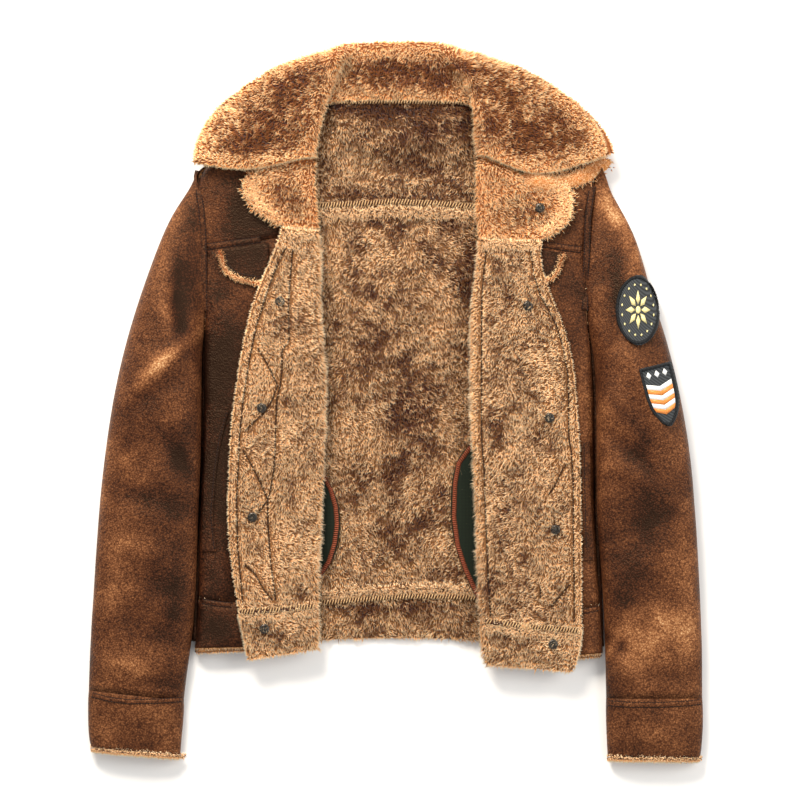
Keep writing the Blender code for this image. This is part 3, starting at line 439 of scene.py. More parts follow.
def lock_of(x, y, seed):
    """The way from each tuft to the middle of its lock of pile, and that lock's own mood."""
    across, down = np.floor(x / LOCK), np.floor(y / LOCK)
    rng = np.random.default_rng(seed)
    scatter = rng.uniform(0.15, 0.85, (LOCK_CELLS, LOCK_CELLS, 2))
    moods = rng.normal(0, 1, (LOCK_CELLS, LOCK_CELLS))
    nearest = np.full(len(x), 1e9)
    pull, mood = np.zeros((len(x), 3)), np.zeros(len(x))
    for i in (-1, 0, 1):
        for j in (-1, 0, 1):
            u, v = (across + i).astype(int), (down + j).astype(int)
            cell = (u % LOCK_CELLS, v % LOCK_CELLS)
            spot = scatter[cell]
            dx, dy = (u + spot[:, 0]) * LOCK - x, (v + spot[:, 1]) * LOCK - y
            away = np.hypot(dx, dy)
            closer = away < nearest
            nearest = np.where(closer, away, nearest)
            pull[closer, 0], pull[closer, 1] = dx[closer], dy[closer]
            mood[closer] = moods[cell][closer]
    return pull, np.clip(mood, -1.6, 1.6)


def edge_tufts(points, quads, per_mm, seed, shade, long=4.0, rise=0.5, keep=None, drop=3.6):
    """Tufts that stand out over a cut edge, because the pile is thicker than the seam."""
    rng = np.random.default_rng(seed)
    normals = normals_of(points, quads)
    rim = rim_of(quads)
    if keep is not None:
        rim = rim[keep(*plan_of((points[rim[:, 0]] + points[rim[:, 1]]) / 2))]
    start, end = points[rim[:, 0]], points[rim[:, 1]]
    length = np.linalg.norm(end - start, axis=1)
    number = int(length.sum() / MM * per_mm)
    chosen = rng.choice(len(rim), number, p=length / length.sum())
    root = start[chosen] + (end - start)[chosen] * rng.random(number)[:, None]
    up = normals[rim[chosen, 0]]
    along = (end - start)[chosen] / length[chosen][:, None]
    out = np.cross(along, up)
    root = root - up * (rng.random(number) * drop * MM)[:, None]
    way = out + up * rng.uniform(-0.35, rise, number)[:, None]
    way += along * rng.normal(0, 0.45, number)[:, None]
    way /= np.linalg.norm(way, axis=1)[:, None]
    size = long * rng.uniform(0.5, 1.25, number)
    # edge tufts are painted a little paler than their face, a painted sheen where seen side on
    light = shade(*plan_of(root)) + rng.normal(0.12, 0.12, number)
    return spikes(root - out * MM, way, up, size, rng, light)


def spikes(root, way, up, size, rng, light):
    """Closed four-faced spikes: their points, faces, height along each (0 to 1), and tone."""
    number = len(root)
    first = np.cross(way, up + rng.normal(0, 0.3, (number, 3)))
    first /= np.maximum(np.linalg.norm(first, axis=1), 1e-6)[:, None]
    second = np.cross(way, first)
    wide = TUFT_WIDE / 2 * MM * rng.uniform(0.7, 1.35, number)[:, None]
    points = np.empty((number, 4, 3))
    for k in range(3):
        turn = 2 * math.pi * k / 3
        ring = first * math.cos(turn) + second * math.sin(turn) * 0.6
        points[:, k] = root - up * 0.5 * MM + ring * wide
    points[:, 3] = root + way * (size * MM)[:, None]
    points[:, :, 2] = np.maximum(points[:, :, 2], 0.2 * MM)  # it lies on the floor, not in it
    corners = np.array([[0, 1, 3], [1, 2, 3], [2, 0, 3], [0, 2, 1]])
    faces = (np.arange(number)[:, None, None] * 4 + corners).reshape(-1, 3)
    height = np.tile([0.0, 0.0, 0.0, 1.0], number)
    return points.reshape(-1, 3), faces, height, np.repeat(light, 4)


def gathered(name, groups, material, slot, **values):
    """One piece from several groups of closed shapes, each with its points and its faces."""
    points, faces, count = [], [], 0
    for some, their_faces, *_ in groups:
        points.append(some)
        faces.append(their_faces + count)
        count += len(some)
    return piece(name, np.concatenate(points), np.concatenate(faces), material, slot, **values)


def pile(name, groups, material, slot):
    """One piece from several groups of tufts."""
    height, light = (np.concatenate([group[k] for group in groups]) for k in (2, 3))
    return gathered(name, groups, material, slot, height=height, light=light)


def mat(name, points, quads, material, slot, light, sink=MAT_SINK, thick=MAT_THICK, stands_for=()):
    """The ground of the fleece under its tufts, a thin closed wall that follows the cloth."""
    sunk = points - normals_of(points, quads) * sink * MM
    made, faces = shell(sunk, quads, thick * MM)
    light = np.tile(light, 2)
    return piece(name, made, faces, material, slot, stands_for, height=MAT_HEIGHT, light=light)


# Polyester fleece: matt, with a painted sheen, a pale halo where the pile is seen from its side.
# It is dyed darker at the root than in the middle and at the tip, and its roots and the mat
# under them are drawn darker still, as painted shade in the gaps between the tufts. Where it
# lies turned, more of its rust ground shows.
FLEECE_PALE, FLEECE_RUST = ("#40220F", "#CC9258", "#FFE8C0"), ("#30130A", "#8A431B", "#DE9858")


def fleece_finish(name, pale, rust):
    """Pile that goes from its root's colour to its tip's, and rustier where it lies turned."""
    made, tree, shader = finish_of(name)
    height = add(tree, "Attribute", attribute_name="height").outputs["Fac"]
    light = add(tree, "Attribute", attribute_name="light").outputs["Fac"]
    pale, rust = (
        add(tree, "ValToRGB", {"Fac": height}, stops=[(0.05, root), (0.85, tip), (0.4, middle)])
        for root, middle, tip in (pale, rust)
    )
    share = add(tree, "MapRange", {"Value": light, "From Min": 0.08, "From Max": 0.62})
    mixed = add(
        tree,
        "Mix",
        {"Factor": share.outputs["Result"], 6: rust.outputs["Color"], 7: pale.outputs["Color"]},
        data_type="RGBA",
    )
    reach = {"Value": light, "From Min": -0.15, "From Max": 1.25, "To Min": 0.36, "To Max": 1.42}
    gain = add(tree, "MapRange", reach).outputs["Result"]
    gained = add(tree, "VectorMath", {0: mixed.outputs[2], "Scale": gain}, operation="SCALE")
    tree.links.new(gained.outputs["Vector"], shader.inputs["Base Color"])
    shader.inputs["Roughness"].default_value = 0.85
    shader.inputs["Specular IOR Level"].default_value = 0.2
    shader.inputs["Sheen Weight"].default_value = 0.12
    shader.inputs["Sheen Roughness"].default_value = 0.5
    return made


fleece = fleece_finish("Polyester fleece", FLEECE_PALE, FLEECE_RUST)

# Where the lining's pile has been rubbed the wrong way and shows its rust ground, with the
# columns of patches(). The same table holds painted light too: a painted shadow under the
# collar, painted shade along the folds' troughs and beside the seams, and a painted highlight
# on the pile that the seams push up. Then come the places where it is paler, and its folds,
# with the columns of creases().
LINING_TURNED_AND_SHADED = [
    (-45, 188, 16, 11, 30, -0.4),
    (-31, 126, 17, 10, 70, -0.4),
    (62, 196, 26, 12, -38, -0.45),
    (38, 172, 26, 9, -55, -0.5),
    (28, 118, 24, 14, -40, -0.3),
    (-12, 70, 30, 16, 20, -0.2),
    (-62, 38, 22, 12, 0, -0.32),
    (-18, 44, 34, 7, 8, -0.42),
    (46, 44, 22, 6, 12, -0.4),
    (16, -6, 34, 20, 60, -0.2),
    (-2, -70, 60, 10, 88, -0.28),
    (-48, -90, 24, 16, 30, -0.24),
    (44, -120, 30, 18, 70, -0.22),
    (-20, -160, 26, 14, 10, -0.2),
    (20, -196, 40, 12, 4, -0.25),
    (-44, -206, 30, 9, -6, -0.3),
    (0, 330, 95, 22, 0, -0.6),
    (-30, 290, 34, 14, -12, -0.3),
    (36, 296, 34, 16, 10, -0.34),
    (0, 240, 60, 12, 2, -0.26),
    (-10, -232, 70, 8, 2, -0.26),
    (0, 331, 110, 5, 0, -0.45),
    (0, 233, 110, 4, 0, -0.36),
    (0, 213, 110, 5, 0, 0.4),
    (0, 203, 110, 3, 1, -0.4),
    (90, 300, 16, 34, 0, -0.34),
    (0, -212, 110, 4, 2, 0.3),
    (0, -229, 110, 4, 2, -0.3),
    (30, 14, 30, 20, 30, -0.3),
    (-70, 90, 18, 26, 0, -0.26),
    (82, 130, 16, 30, 0, -0.3),
    (-30, -40, 20, 26, 0, 0.3),
    (70, -90, 18, 30, 0, 0.24),
]
LINING_PALE = [
    (-52, 150, 26, 40, 0, 0.14),
    (2, 168, 22, 30, 0, 0.12),
    (-40, 0, 30, 40, 10, 0.14),
    (50, 90, 22, 40, 0, 0.1),
    (60, 0, 16, 50, 0, 0.14),
    (-10, 262, 40, 16, 0, 0.14),
    (-50, -140, 22, 40, 0, 0.1),
    (12, -130, 26, 50, 0, 0.12),
]
LINING_CREASES = [
    (4, 210, 50, 160, 12, -1.4),
    (-57, 34, 5, 47, 9, 1.6),
    (27, 38, 66, 45, 9, 1.5),
    (-4, 30, -2, -175, 14, -1.1),
    (-60, 120, 20, 135, 14, 0.9),
    (-70, -60, -20, -110, 12, -1.0),
    (20, -90, 75, -60, 14, 1.0),
    (-80, 290, 80, 296, 9, 1.2),
    (-90, 160, -30, 190, 9, 1.4),
    (-90, 130, -40, 140, 8, -1.3),
    (20, 190, 84, 160, 9, 1.4),
    (40, 150, 90, 120, 8, -1.6),
    (-90, 20, -20, 60, 9, 1.5),
    (-80, -10, -10, 10, 8, -1.3),
    (30, 80, 90, 70, 9, 1.4),
    (-80, -130, -10, -150, 9, 1.3),
    (0, -120, 70, -150, 9, -1.4),
    (-60, -180, 20, -190, 8, 1.3),
    (30, -180, 84, -170, 8, 1.3),
    (-84, 310, -30, 270, 9, -1.3),
    (30, 310, 84, 270, 9, 1.4),
    (-40, 268, 60, 262, 10, -1.2),
]


def lining_light(x, y):
    """How pale the lining's pile is, from about 0 to 1, painted darker in the troughs of its folds
    and paler on their ridges, as painted shade and painted highlight.
    """
    field = 0.68 + 0.44 * drift(x, y, 24, 11) + 0.4 * drift(x, y, 10, 12)
    field += 0.16 * creases(x, y, LINING_CREASES)
    return field + 1.35 * patches(x, y, LINING_TURNED_AND_SHADED) + patches(x, y, LINING_PALE)


def lining_lay(x, y):
    """The lining's pile is brushed down, towards the hem."""
    return -math.pi / 2 + 1.1 * drift(x, y, 55, 21) + 0.35 * drift(x, y, 16, 22)


def lining_keep(x, y, up):
    """Hardly any pile is drawn where the fronts hide it."""
    return np.where((x > -96) & (x < 104), 1.0, 0.04)


for node, (points, quads) in back_linings.items():
    points = ruffled(points, quads, LINING_CREASES, 1.1, 33)
    back_linings[node] = points, quads
    light = lining_light(*plan_of(points)) + pile_sheen_of(points, quads, 5, 0.16)
    under = mat(node + "_mat", points, quads, fleece, "fleece", light)
    groups = [
        tufts(points, quads, 0.35, 31, lining_keep, light, lining_lay),
        edge_tufts(points, quads, 1.6, 32, lining_light, 3.4, 1.4, lambda x, y: np.abs(x) < 112),
    ]
    nap = pile(node + "_pile", groups, fleece, "fleece")
    _, flat, share = BACK[node]

# ------------------------------------------------------------------ serged seams of the lining
# Inside, the yoke, the panel and the hem band are serged together. The seam's edges stand up
# as a band that tan thread crosses on a slant, and the pile is pushed up along it.

OVERLOCK_PITCH, OVERLOCK_WIDE = 3.2, 6.0
OVERLOCK_THREAD = (1.35, 0.9)  # width and height: 0.4 mm thread, drawn so that it shows
SERGED_WIDE, EDGE_STEP = OVERLOCK_WIDE - 0.4, 3.0
BACK_SEAMS = {  # the seam, and the shift to the pile pushed up beside it
    "neck": ([(-97, 338), (-50, 338.5), (0, 339), (50, 338.5), (97, 338)], (0, 9)),
    "yoke": ([(-97, 220.5), (-50, 223.5), (0, 226), (45, 224), (97, 219.5)], (0, -10)),
    "hem": (
        [(-92, -227), (-60, -224.5), (-20, -221.5), (15, -219), (60, -219.5), (98, -221)],
        (0, 8),
    ),
}


def paced(line, pitch):
    """Points at an even pitch along a flat line, and the way that it runs there."""
    line = np.array(line, float)
    along = np.concatenate([[0], np.cumsum(np.hypot(*np.diff(line, axis=0).T))])
    steps = np.arange(pitch / 2, along[-1], pitch)
    spots = np.column_stack([np.interp(steps, along, line[:, k]) for k in (0, 1)])
    ways = np.gradient(spots, axis=0)
    return spots, ways / np.linalg.norm(ways, axis=1)[:, None]


def laid(trees, line, rise):
    """A flat line of x, y set down on what lies under it, rise over it."""
    made = []
    for x, y in line:
        spot = Vector((x * MM, y * MM, OVERHEAD))
        hits = [tree.ray_cast(spot, Vector((0, 0, -1)))[0] for tree in trees]
        tops = [hit.z for hit in hits if hit]
        level = max(tops) + rise * MM if tops else made[-1][2] if made else 6 * MM
        made.append((x * MM, y * MM, level))
    return np.array(made)


def surfaces(*faces):
    """What laid() sets a line down on, from faces with four sides."""
    return [BVHTree.FromPolygons(points.tolist(), quads.tolist()) for points, quads in faces]


def cords(lines, wide, high, sides=4):
    """Closed cords of 4 or 8 sides along rows of points, each row with as many of them."""
    lines = np.asarray(lines)
    count, steps = lines.shape[:2]
    way = np.gradient(lines, axis=1)
    side = np.cross(way, (0.0, 0.0, 1.0))
    side /= np.maximum(np.linalg.norm(side, axis=2), 1e-9)[:, :, None]
    lift = np.cross(side, way)
    lift /= np.maximum(np.linalg.norm(lift, axis=2), 1e-9)[:, :, None]
    turn = np.arange(sides) * 2 * math.pi / sides
    points = lines[:, :, None] + side[:, :, None] * (np.cos(turn) * wide / 2 * MM)[:, None]
    points = points + lift[:, :, None] * (np.sin(turn) * high / 2 * MM)[:, None]
    k = np.arange(sides)
    ring = np.stack([k, k + sides, (k + 1) % sides + sides, (k + 1) % sides], 1)
    first = (np.arange(count)[:, None] * steps + np.arange(steps - 1)) * sides
    cap = np.array([[0, 1, 2, 7], [7, 2, 3, 6], [6, 3, 4, 5]] if sides == 8 else [[0, 1, 2, 3]])
    head = np.arange(count)[:, None, None] * steps * sides
    faces = [(first[:, :, None, None] + ring).reshape(-1, 4), (head + cap).reshape(-1, 4)]
    faces.append((head + (steps - 1) * sides + cap[:, ::-1]).reshape(-1, 4))
    return points.reshape(-1, 3), np.concatenate(faces)


def overlock(trees, line, wide, pitch, rise, seed):
    """Threads across a serged edge: each on a slant, and humped in its middle."""
    rng = np.random.default_rng(seed)
    spots, ways = paced(line, pitch)
    across = np.column_stack([-ways[:, 1], ways[:, 0]])
    rows = []
    for share, hump in ((-0.5, 0.0), (-0.25, 0.8), (0.25, 0.8), (0.5, 0.0)):
        flat = spots + across * wide * share + ways * pitch * 0.7 * share
        rows.append(laid(trees, flat + rng.normal(0, 0.1, flat.shape), rise + hump))
    return np.stack(rows, 1)


def ridge_tufts(trees, line, per_mm, seed, shade, spread, long, rise=0.0):
    """Pile that a seam pushes up on both sides of a line."""
    rng = np.random.default_rng(seed)
    spots, ways = paced(line, 1 / per_mm)
    across = np.column_stack([-ways[:, 1], ways[:, 0]])
    off = rng.normal(0, 1, len(spots))[:, None]
    root = laid(trees, spots + across * off * spread, rise)
    flat = across * np.clip(off, -1.4, 1.4) * 0.8 + ways * rng.normal(0, 0.45, (len(spots), 1))
    way = np.column_stack([flat, rng.uniform(0.35, 0.9, len(spots))])
    way /= np.linalg.norm(way, axis=1)[:, None]
    size = long * rng.uniform(0.6, 1.2, len(spots))
    light = shade(*plan_of(root)) + rng.normal(0, 0.14, len(spots))
    up = np.tile([0.0, 0.0, 1.0], (len(spots), 1))
    return spikes(root, way, up, size, rng, light)


def even(light):
    """Pile of one tone all along a seam."""
    return lambda x, y: np.full_like(x, light)


THREAD_PLY = 0.9  # the real ply is 0.2 mm


def thread_finish(name, dark, pale, roughness=0.6):
    """Thread, paler where a strand of it catches the light."""
    made, tree, shader = finish_of(name)
    place = add(tree, "TexCoord").outputs["Object"]
    ply = add(tree, "TexNoise", {"Vector": place, "Scale": 1000 / THREAD_PLY, "Detail": 2})
    dyed = add(tree, "ValToRGB", {"Fac": ply.outputs["Fac"]}, stops=[(0.3, dark), (0.7, pale)])
    tree.links.new(dyed.outputs["Color"], shader.inputs["Base Color"])
    shader.inputs["Roughness"].default_value = roughness
    shader.inputs["Specular IOR Level"].default_value = 0.3
    return made


# Spun polyester overlock thread, tan, with a dull twist; the serged edge under it is rust.
tan_thread = thread_finish("Tan overlock thread", "#8A5A30", "#E6C490")
serged_cloth = thread_finish("Serged cloth edge", "#1E0C05", "#4E2410", 0.9)
lining_trees = surfaces(*back_linings.values())
threads, edges, pushed = [], [], []
for number, (line, shift) in enumerate(BACK_SEAMS.values()):
    sewn = overlock(lining_trees, line, OVERLOCK_WIDE, OVERLOCK_PITCH, 2.9, number)
    threads.append(cords(sewn, *OVERLOCK_THREAD))
    edges.append(cords([laid(lining_trees, paced(line, EDGE_STEP)[0], 1.9)], SERGED_WIDE, 2.6))
    shifted = [(x + shift[0], y + shift[1]) for x, y in line]
    pushed.append(ridge_tufts(lining_trees, shifted, 5.0, 40 + number, even(1.05), 2.8, 6.0))
gathered("back_seams_thread", threads, tan_thread, "overlock")
gathered("back_seams_edge", edges, serged_cloth, "overlock")
pile("back_seams_pile", pushed, fleece, "fleece")
# One loose end of thread hangs from the hem seam over the back band.
LOOSE_END = [(-5.6, -226), (-7.5, -233), (-6, -241), (-8.6, -250), (-9, -262)]
loose = cords([laid(lining_trees, paced(LOOSE_END, 2.0)[0], 3.4)], 0.9, 0.8)
gathered("back_seams_loose_end", [loose], tan_thread, "overlock")

# ------------------------------------------------------------------ fronts
# Each front is a panel, a yoke above it and a hem band below it, in the same cloth. The
# panel is turned back along its opening, so that its suede lies on suede and its fleece
# faces up. The seams are lapped, felled and topstitched in brown thread.

# a point of the turned-back side, and the flat cut's width and length in metres
FRONTS = {
    "front_panel_R": ((-205, 0), (0.23, 0.43)),
    "front_panel_L": ((212, 0), (0.24, 0.43)),
    "front_band_R": ((-205, -255), (0.23, 0.065)),
    "front_band_L": ((215, -265), (0.24, 0.065)),
    "front_yoke_R": ((-170, 220), (0.12, 0.13)),
    "front_yoke_L": ((170, 220), (0.12, 0.13)),
}
# The suede of the body is rubbed almost black on the wearer's right, and browner elsewhere.
BODY_TONE = [
    (-205, 60, 130, 34, 90, -0.3),
    (-195, -80, 140, 30, 90, -0.26),
    (-160, 215, 46, 26, 90, -0.42),
    (-205, 200, 40, 12, 90, 0.06),
    (-208, -262, 24, 30, 0, -0.26),
    (215, 120, 110, 26, 90, -0.08),
    (216, -60, 120, 20, 90, 0.1),
    (180, 210, 30, 26, 60, -0.14),
    (216, -262, 24, 30, 0, 0.02),
]
FRONT_CREASES = [
    (-212, 140, -190, 70, 7, 1.3),
    (-208, 60, -196, -8, 6, -1.2),
    (-214, 20, -186, 30, 5, 0.9),
    (-212, -180, -190, -205, 6, 1.1),
    (214, 100, 205, 20, 6, -1.3),
    (216, 30, 206, -20, 5, 1.1),
    (219, -190, 209, -220, 5, 1.0),
    (-150, 240, -190, 200, 9, -1.2),
    (150, 236, 190, 196, 9, -1.1),
]
HEM_DEEP, HEM_SHORT = 14, 5.5  # how high the hem's rim reaches, and how far the suede stops short
SHORT_REACH = 30
FOLD_HIGH = 12 * MM  # the folds of a front show only on its upper layer


def cut_short(points, quads, end, short):
    """The suede stops short of its fleece at an end, the rim that lies below y = end."""
    rim = points[np.unique(rim_of(quads))] / MM
    rim = rim[rim[:, 1] < end]
    line = np.polyfit(rim[:, 0], rim[:, 1], 2)
    points = points.copy()
    x, y = plan_of(points)
    share = np.clip((y - np.polyval(line, x)) / SHORT_REACH, 0, 1)
    points[:, 1] += short * (1 - share) * MM
    return points, line


front_facings, front_skins, front_pieces = {}, {}, {}
for node, (spot, _) in FRONTS.items():
    (points, quads), front_facings[node] = two_sides(node, spot)
    x, y = plan_of(points)
    puff = np.maximum(creases(x, y, FRONT_CREASES) + 0.5 * drift(x, y, 22, 41), -0.5)
    puff *= MM * (points[:, 2] > FOLD_HIGH)
    points = points + normals_of(points, quads) * puff[:, None]
    if "band" in node:
        points, _ = cut_short(points, quads, points[:, 1].min() / MM + HEM_DEEP, HEM_SHORT)
    front_skins[node] = (points, quads)
    tone = 0.5 + patches(x, y, BODY_TONE) * (1 + 0.5 * drift(x, y, 14, 43))
    tone = tone + 0.08 * drift(x, y, 40, 42)
    made, faces = shell(points, quads, SUEDE_THICK)
    front_pieces[node] = piece(
        node + "_suede", made, faces, suede, "suede", (node,), tone=np.tile(tone, 2)
    )

# ------------------------------------------------------------------ turned-back facings
# The fleece of the fronts, quilted down to the suede behind it: one row of stitches along
# the free edge, one along the placket, and slanted rows round the press studs.

QUILTING = {
    "R": [
        [(-124, 173), (-131, 160), (-140, 137), (-146, 120), (-151, 103), (-157, 86), (-166, 40),
         (-172, 0), (-176, -40), (-179, -110), (-178, -160), (-172, -226)],
        [(-116, 171), (-119, 137), (-121, 103), (-120, 70), (-128, 58), (-128, 36), (-130, 19),
         (-134, 2), (-136, -54), (-137, -76), (-141, -99), (-144, -110), (-144, -133), (-141, -178),
         (-135, -223)],
        [(-156, 61), (-144, 42), (-133, 19), (-140, 0), (-151, -15), (-170, -32)],
        [(-172, -54), (-162, -71), (-151, -93), (-144, -110), (-159, -130)],
        [(-170, -183), (-159, -192), (-148, -211), (-138, -223)],
    ],
    "L": [
        [(151, 170), (155, 142), (162, 120), (171, 104), (180, 86), (188, 60), (193, 30), (194, 0),
         (194, -40), (197, -56), (199, -90), (199, -140), (200, -200), (200, -246)],
        [(101, 170), (98, 140), (96, 110), (96, 90), (96, 50), (96, 0), (96, -40), (99, -80),
         (101, -140), (103, -190), (106, -240)],
        [(192, -69), (187, -76), (179, -93), (171, -105)],
        [(196, -204), (185, -217), (173, -231)],
        [(162, -206), (162, -228)],
    ],
}
FACING_TURNED = [
    (-88, 40, 12, 9, 0, -0.4),
    (-84, 64, 15, 10, 20, -0.35),
    (-104, 6, 16, 13, 30, -0.28),
    (-116, 96, 14, 10, 0, -0.3),
    (-146, 54, 13, 9, 40, -0.3),
    (-110, -60, 20, 14, 0, -0.14),
    (-150, -86, 12, 12, 0, -0.18),
    (-104, -150, 22, 12, 80, -0.18),
    (-120, -205, 22, 10, 0, -0.25),
    (-150, 140, 12, 12, 0, -0.12),
    (112, 150, 20, 9, 80, -0.34),
    (128, 120, 20, 9, -60, -0.42),
    (118, 70, 26, 9, 80, -0.28),
    (140, 36, 20, 10, 70, -0.34),
    (164, 66, 18, 9, 60, -0.28),
    (110, -20, 24, 10, 90, -0.2),
    (160, -36, 22, 9, 60, -0.38),
    (130, -86, 26, 11, 60, -0.28),
    (120, -150, 24, 12, 90, -0.36),
    (112, -200, 22, 14, 80, -0.42),
    (150, -170, 20, 9, 60, -0.24),
    (184, -120, 22, 7, 90, -0.24),
    (140, -262, 36, 7, 0, -0.22),
    (-130, -262, 36, 7, 0, -0.26),
]
# soft waves across the facings, between the rows of quilting
FACING_CREASES = [
    (-165, 30, -140, 66, 8, 1.6),
    (-124, 92, -92, 84, 8, -1.4),
    (-128, 40, -88, 30, 9, -1.6),
    (-126, 12, -84, 18, 8, 1.5),
    (-170, -60, -140, -66, 8, 1.2),
    (-130, -90, -90, -84, 9, -1.3),
    (-134, -150, -92, -160, 9, 1.4),
    (-176, -150, -150, -176, 8, -1.2),
    (104, 150, 146, 140, 8, 1.5),
    (102, 118, 150, 112, 8, -1.6),
    (102, 82, 150, 92, 9, 1.4),
    (104, 50, 150, 38, 8, -1.6),
    (150, 60, 186, 70, 8, 1.3),
    (104, 4, 150, 10, 9, 1.6),
    (106, -30, 186, -44, 9, -1.7),
    (108, -64, 160, -60, 8, 1.5),
    (108, -100, 150, -112, 9, -1.5),
    (150, -110, 192, -90, 8, 1.3),
    (110, -148, 160, -140, 9, 1.5),
    (112, -190, 150, -196, 8, -1.5),
    (150, -170, 196, -160, 8, 1.4),
]


def facing_light(x, y):
    """How pale the facings' pile is, a little darker on the wearer's left, painted darker in the
    troughs of its waves and paler on their crests, as painted shade and painted highlight.
    """
    field = 0.96 + 0.36 * drift(x, y, 20, 51) + 0.34 * drift(x, y, 9, 52) - 0.14 * (x > 0)
    return field + 1.4 * patches(x, y, FACING_TURNED) + 0.16 * creases(x, y, FACING_CREASES)


def facing_lay(x, y):
    """The facings' pile is brushed down and outwards."""
    return -math.pi / 2 - 0.5 * np.sign(x) + 1.0 * drift(x, y, 36, 53)


def facing_keep(x, y, up):
    """Hardly any pile is drawn on the side that faces the floor."""
    return np.where(up[:, 2] > -0.2, 1.0, 0.03)


def facing_edge(x, y):
    """The pile is painted paler at an edge, a painted sheen where it is seen from its side."""
    return facing_light(x, y) + 0.2


def outer_edge(x, y):
    """The free edge and the hem, where the pile shows past the suede."""
    return (np.abs(x) > 60) & (y < 400)


for node, (points, quads) in front_facings.items():
    side = node[-1]
    points = ruffled(points, quads, FACING_CREASES, 1.0, 63)
    front_facings[node] = points, quads
    light = facing_light(*plan_of(points)) + pile_sheen_of(points, quads, 8, 0.45)
    carried = [mat(node + "_mat", points, quads, fleece, "fleece", light)]
    if "yoke" not in node:
        groups = [
            tufts(points, quads, 0.44, 61, facing_keep, light, facing_lay, QUILTING[side]),
            edge_tufts(points, quads, 2.2, 62, facing_edge, 4.2, 0.8, outer_edge),
        ]
        if "band" in node:
            skin = front_skins[node]
            groups.append(edge_tufts(*skin, 6.0, 65, facing_edge, 5.0, 0.1, outer_edge))
        carried.append(pile(node + "_pile", groups, fleece, "fleece"))

# ------------------------------------------------------------------ quilting and band seams
# Brown thread sinks into the facings' pile along each row of quilting. Across each front, the
# collar end above and the hem band below are serged on, with the pile pushed up beside them.

QUILT_PITCH, QUILT_SINK, QUILT_THREAD = 3.4, 0.1, (1.5, 1.0)
FRONT_SEAMS = {  # the seam, and how far above it the pile is pushed up
    "R": [
        ([(-128, 196), (-110, 194.5), (-92, 193)], -6),
        ([(-184, -236), (-140, -234), (-92, -229)], -5),
    ],
    "L": [
        ([(162, 181.5), (130, 183), (98, 184.5)], -6),
        ([(206, -257), (150, -252), (100, -246)], -5),
    ],
}
# Waxed polyester topstitch thread, dark brown, and drawn darker still, as the painted shade of
# the groove that it sinks into.
brown_thread = thread_finish("Brown topstitch thread", "#0F0603", "#2E170B", 0.8)


def stitches(trees, line, pitch, rise):
    """A row of topstitches, each dipping into the cloth at its ends."""
    spots, ways = paced(line, pitch)
    rows = [
        laid(trees, spots + ways * pitch * share, rise + dip)
        for share, dip in ((-0.4, -0.4), (0.0, 0.1), (0.4, -0.4))
    ]
    return np.stack(rows, 1)


for side, rows in QUILTING.items():
    trees = surfaces(*(face for node, face in front_facings.items() if node[-1] == side))
    sewn = [cords(stitches(trees, row, QUILT_PITCH, QUILT_SINK), *QUILT_THREAD) for row in rows]
    gathered("quilting_" + side, sewn, brown_thread, "overlock")
    threads, edges, pushed = [], [], []
    for number, (line, shift) in enumerate(FRONT_SEAMS[side]):
        sewn = overlock(trees, line, OVERLOCK_WIDE, OVERLOCK_PITCH, 3.0, 50 + number)
        threads.append(cords(sewn, *OVERLOCK_THREAD))
        edges.append(cords([laid(trees, paced(line, EDGE_STEP)[0], 2.0)], SERGED_WIDE, 2.4))
        shifted = [(x, y + shift) for x, y in line]
        pushed.append(ridge_tufts(trees, shifted, 6.0, 64 + number, even(1.15), 2.4, 5.6))
    gathered("front_seams_thread_" + side, threads, tan_thread, "overlock")
    gathered("front_seams_edge_" + side, edges, serged_cloth, "overlock")
    pile("front_seams_pile_" + side, pushed, fleece, "fleece")

# ------------------------------------------------------------------ sleeves and cuffs
# One-piece sleeves of the same cloth with the suede out, set in at the armhole and sewn to
# a cuff band. They lie flat and full, creased across at the elbow, with fleece at the cuff.

# a point of the upper side, the flat cut's width and length in metres, its share that is cloth
SLEEVES = {
    "sleeve_R": ((-280, 0), (0.33, 0.56), 0.69),
    "sleeve_L": ((280, 0), (0.33, 0.56), 0.69),
    "cuff_R": ((-290, -370), (0.25, 0.062), 1.0),
    "cuff_L": ((290, -370), (0.25, 0.062), 1.0),
}
SLEEVE_CREASES = [
    (-245, 142, -237, 81, 8, -1.6),
    (-262, 120, -250, 60, 7, 1.3),
    (-290, 19, -226, 75, 9, 1.6),
    (-296, -4, -232, 30, 8, -1.5),
    (-260, -37, -226, -88, 8, -1.8),
    (-322, -93, -232, -121, 8, -1.8),
    (-318, -120, -262, -134, 9, 1.5),
    (-330, -150, -250, -175, 9, 1.4),
    (-300, -190, -240, -215, 9, -1.5),
    (-300, -250, -236, -275, 7, -1.6),
    (-335, -290, -260, -305, 6, 1.5),
    (-296, -308, -244, -318, 5, -1.3),
    (252, 169, 237, 64, 8, -1.8),
    (262, 55, 300, -35, 10, 1.4),
    (232, -30, 285, -75, 8, -1.7),
    (240, -70, 300, -98, 8, 1.3),
    (240, -150, 320, -120, 8, -1.6),
    (246, -190, 318, -172, 9, 1.3),
    (242, -222, 312, -212, 8, -1.3),
    (232, -264, 263, -281, 6, -1.8),
    (235, -285, 275, -313, 7, 1.7),
    (262, -300, 330, -312, 7, -1.2),
]
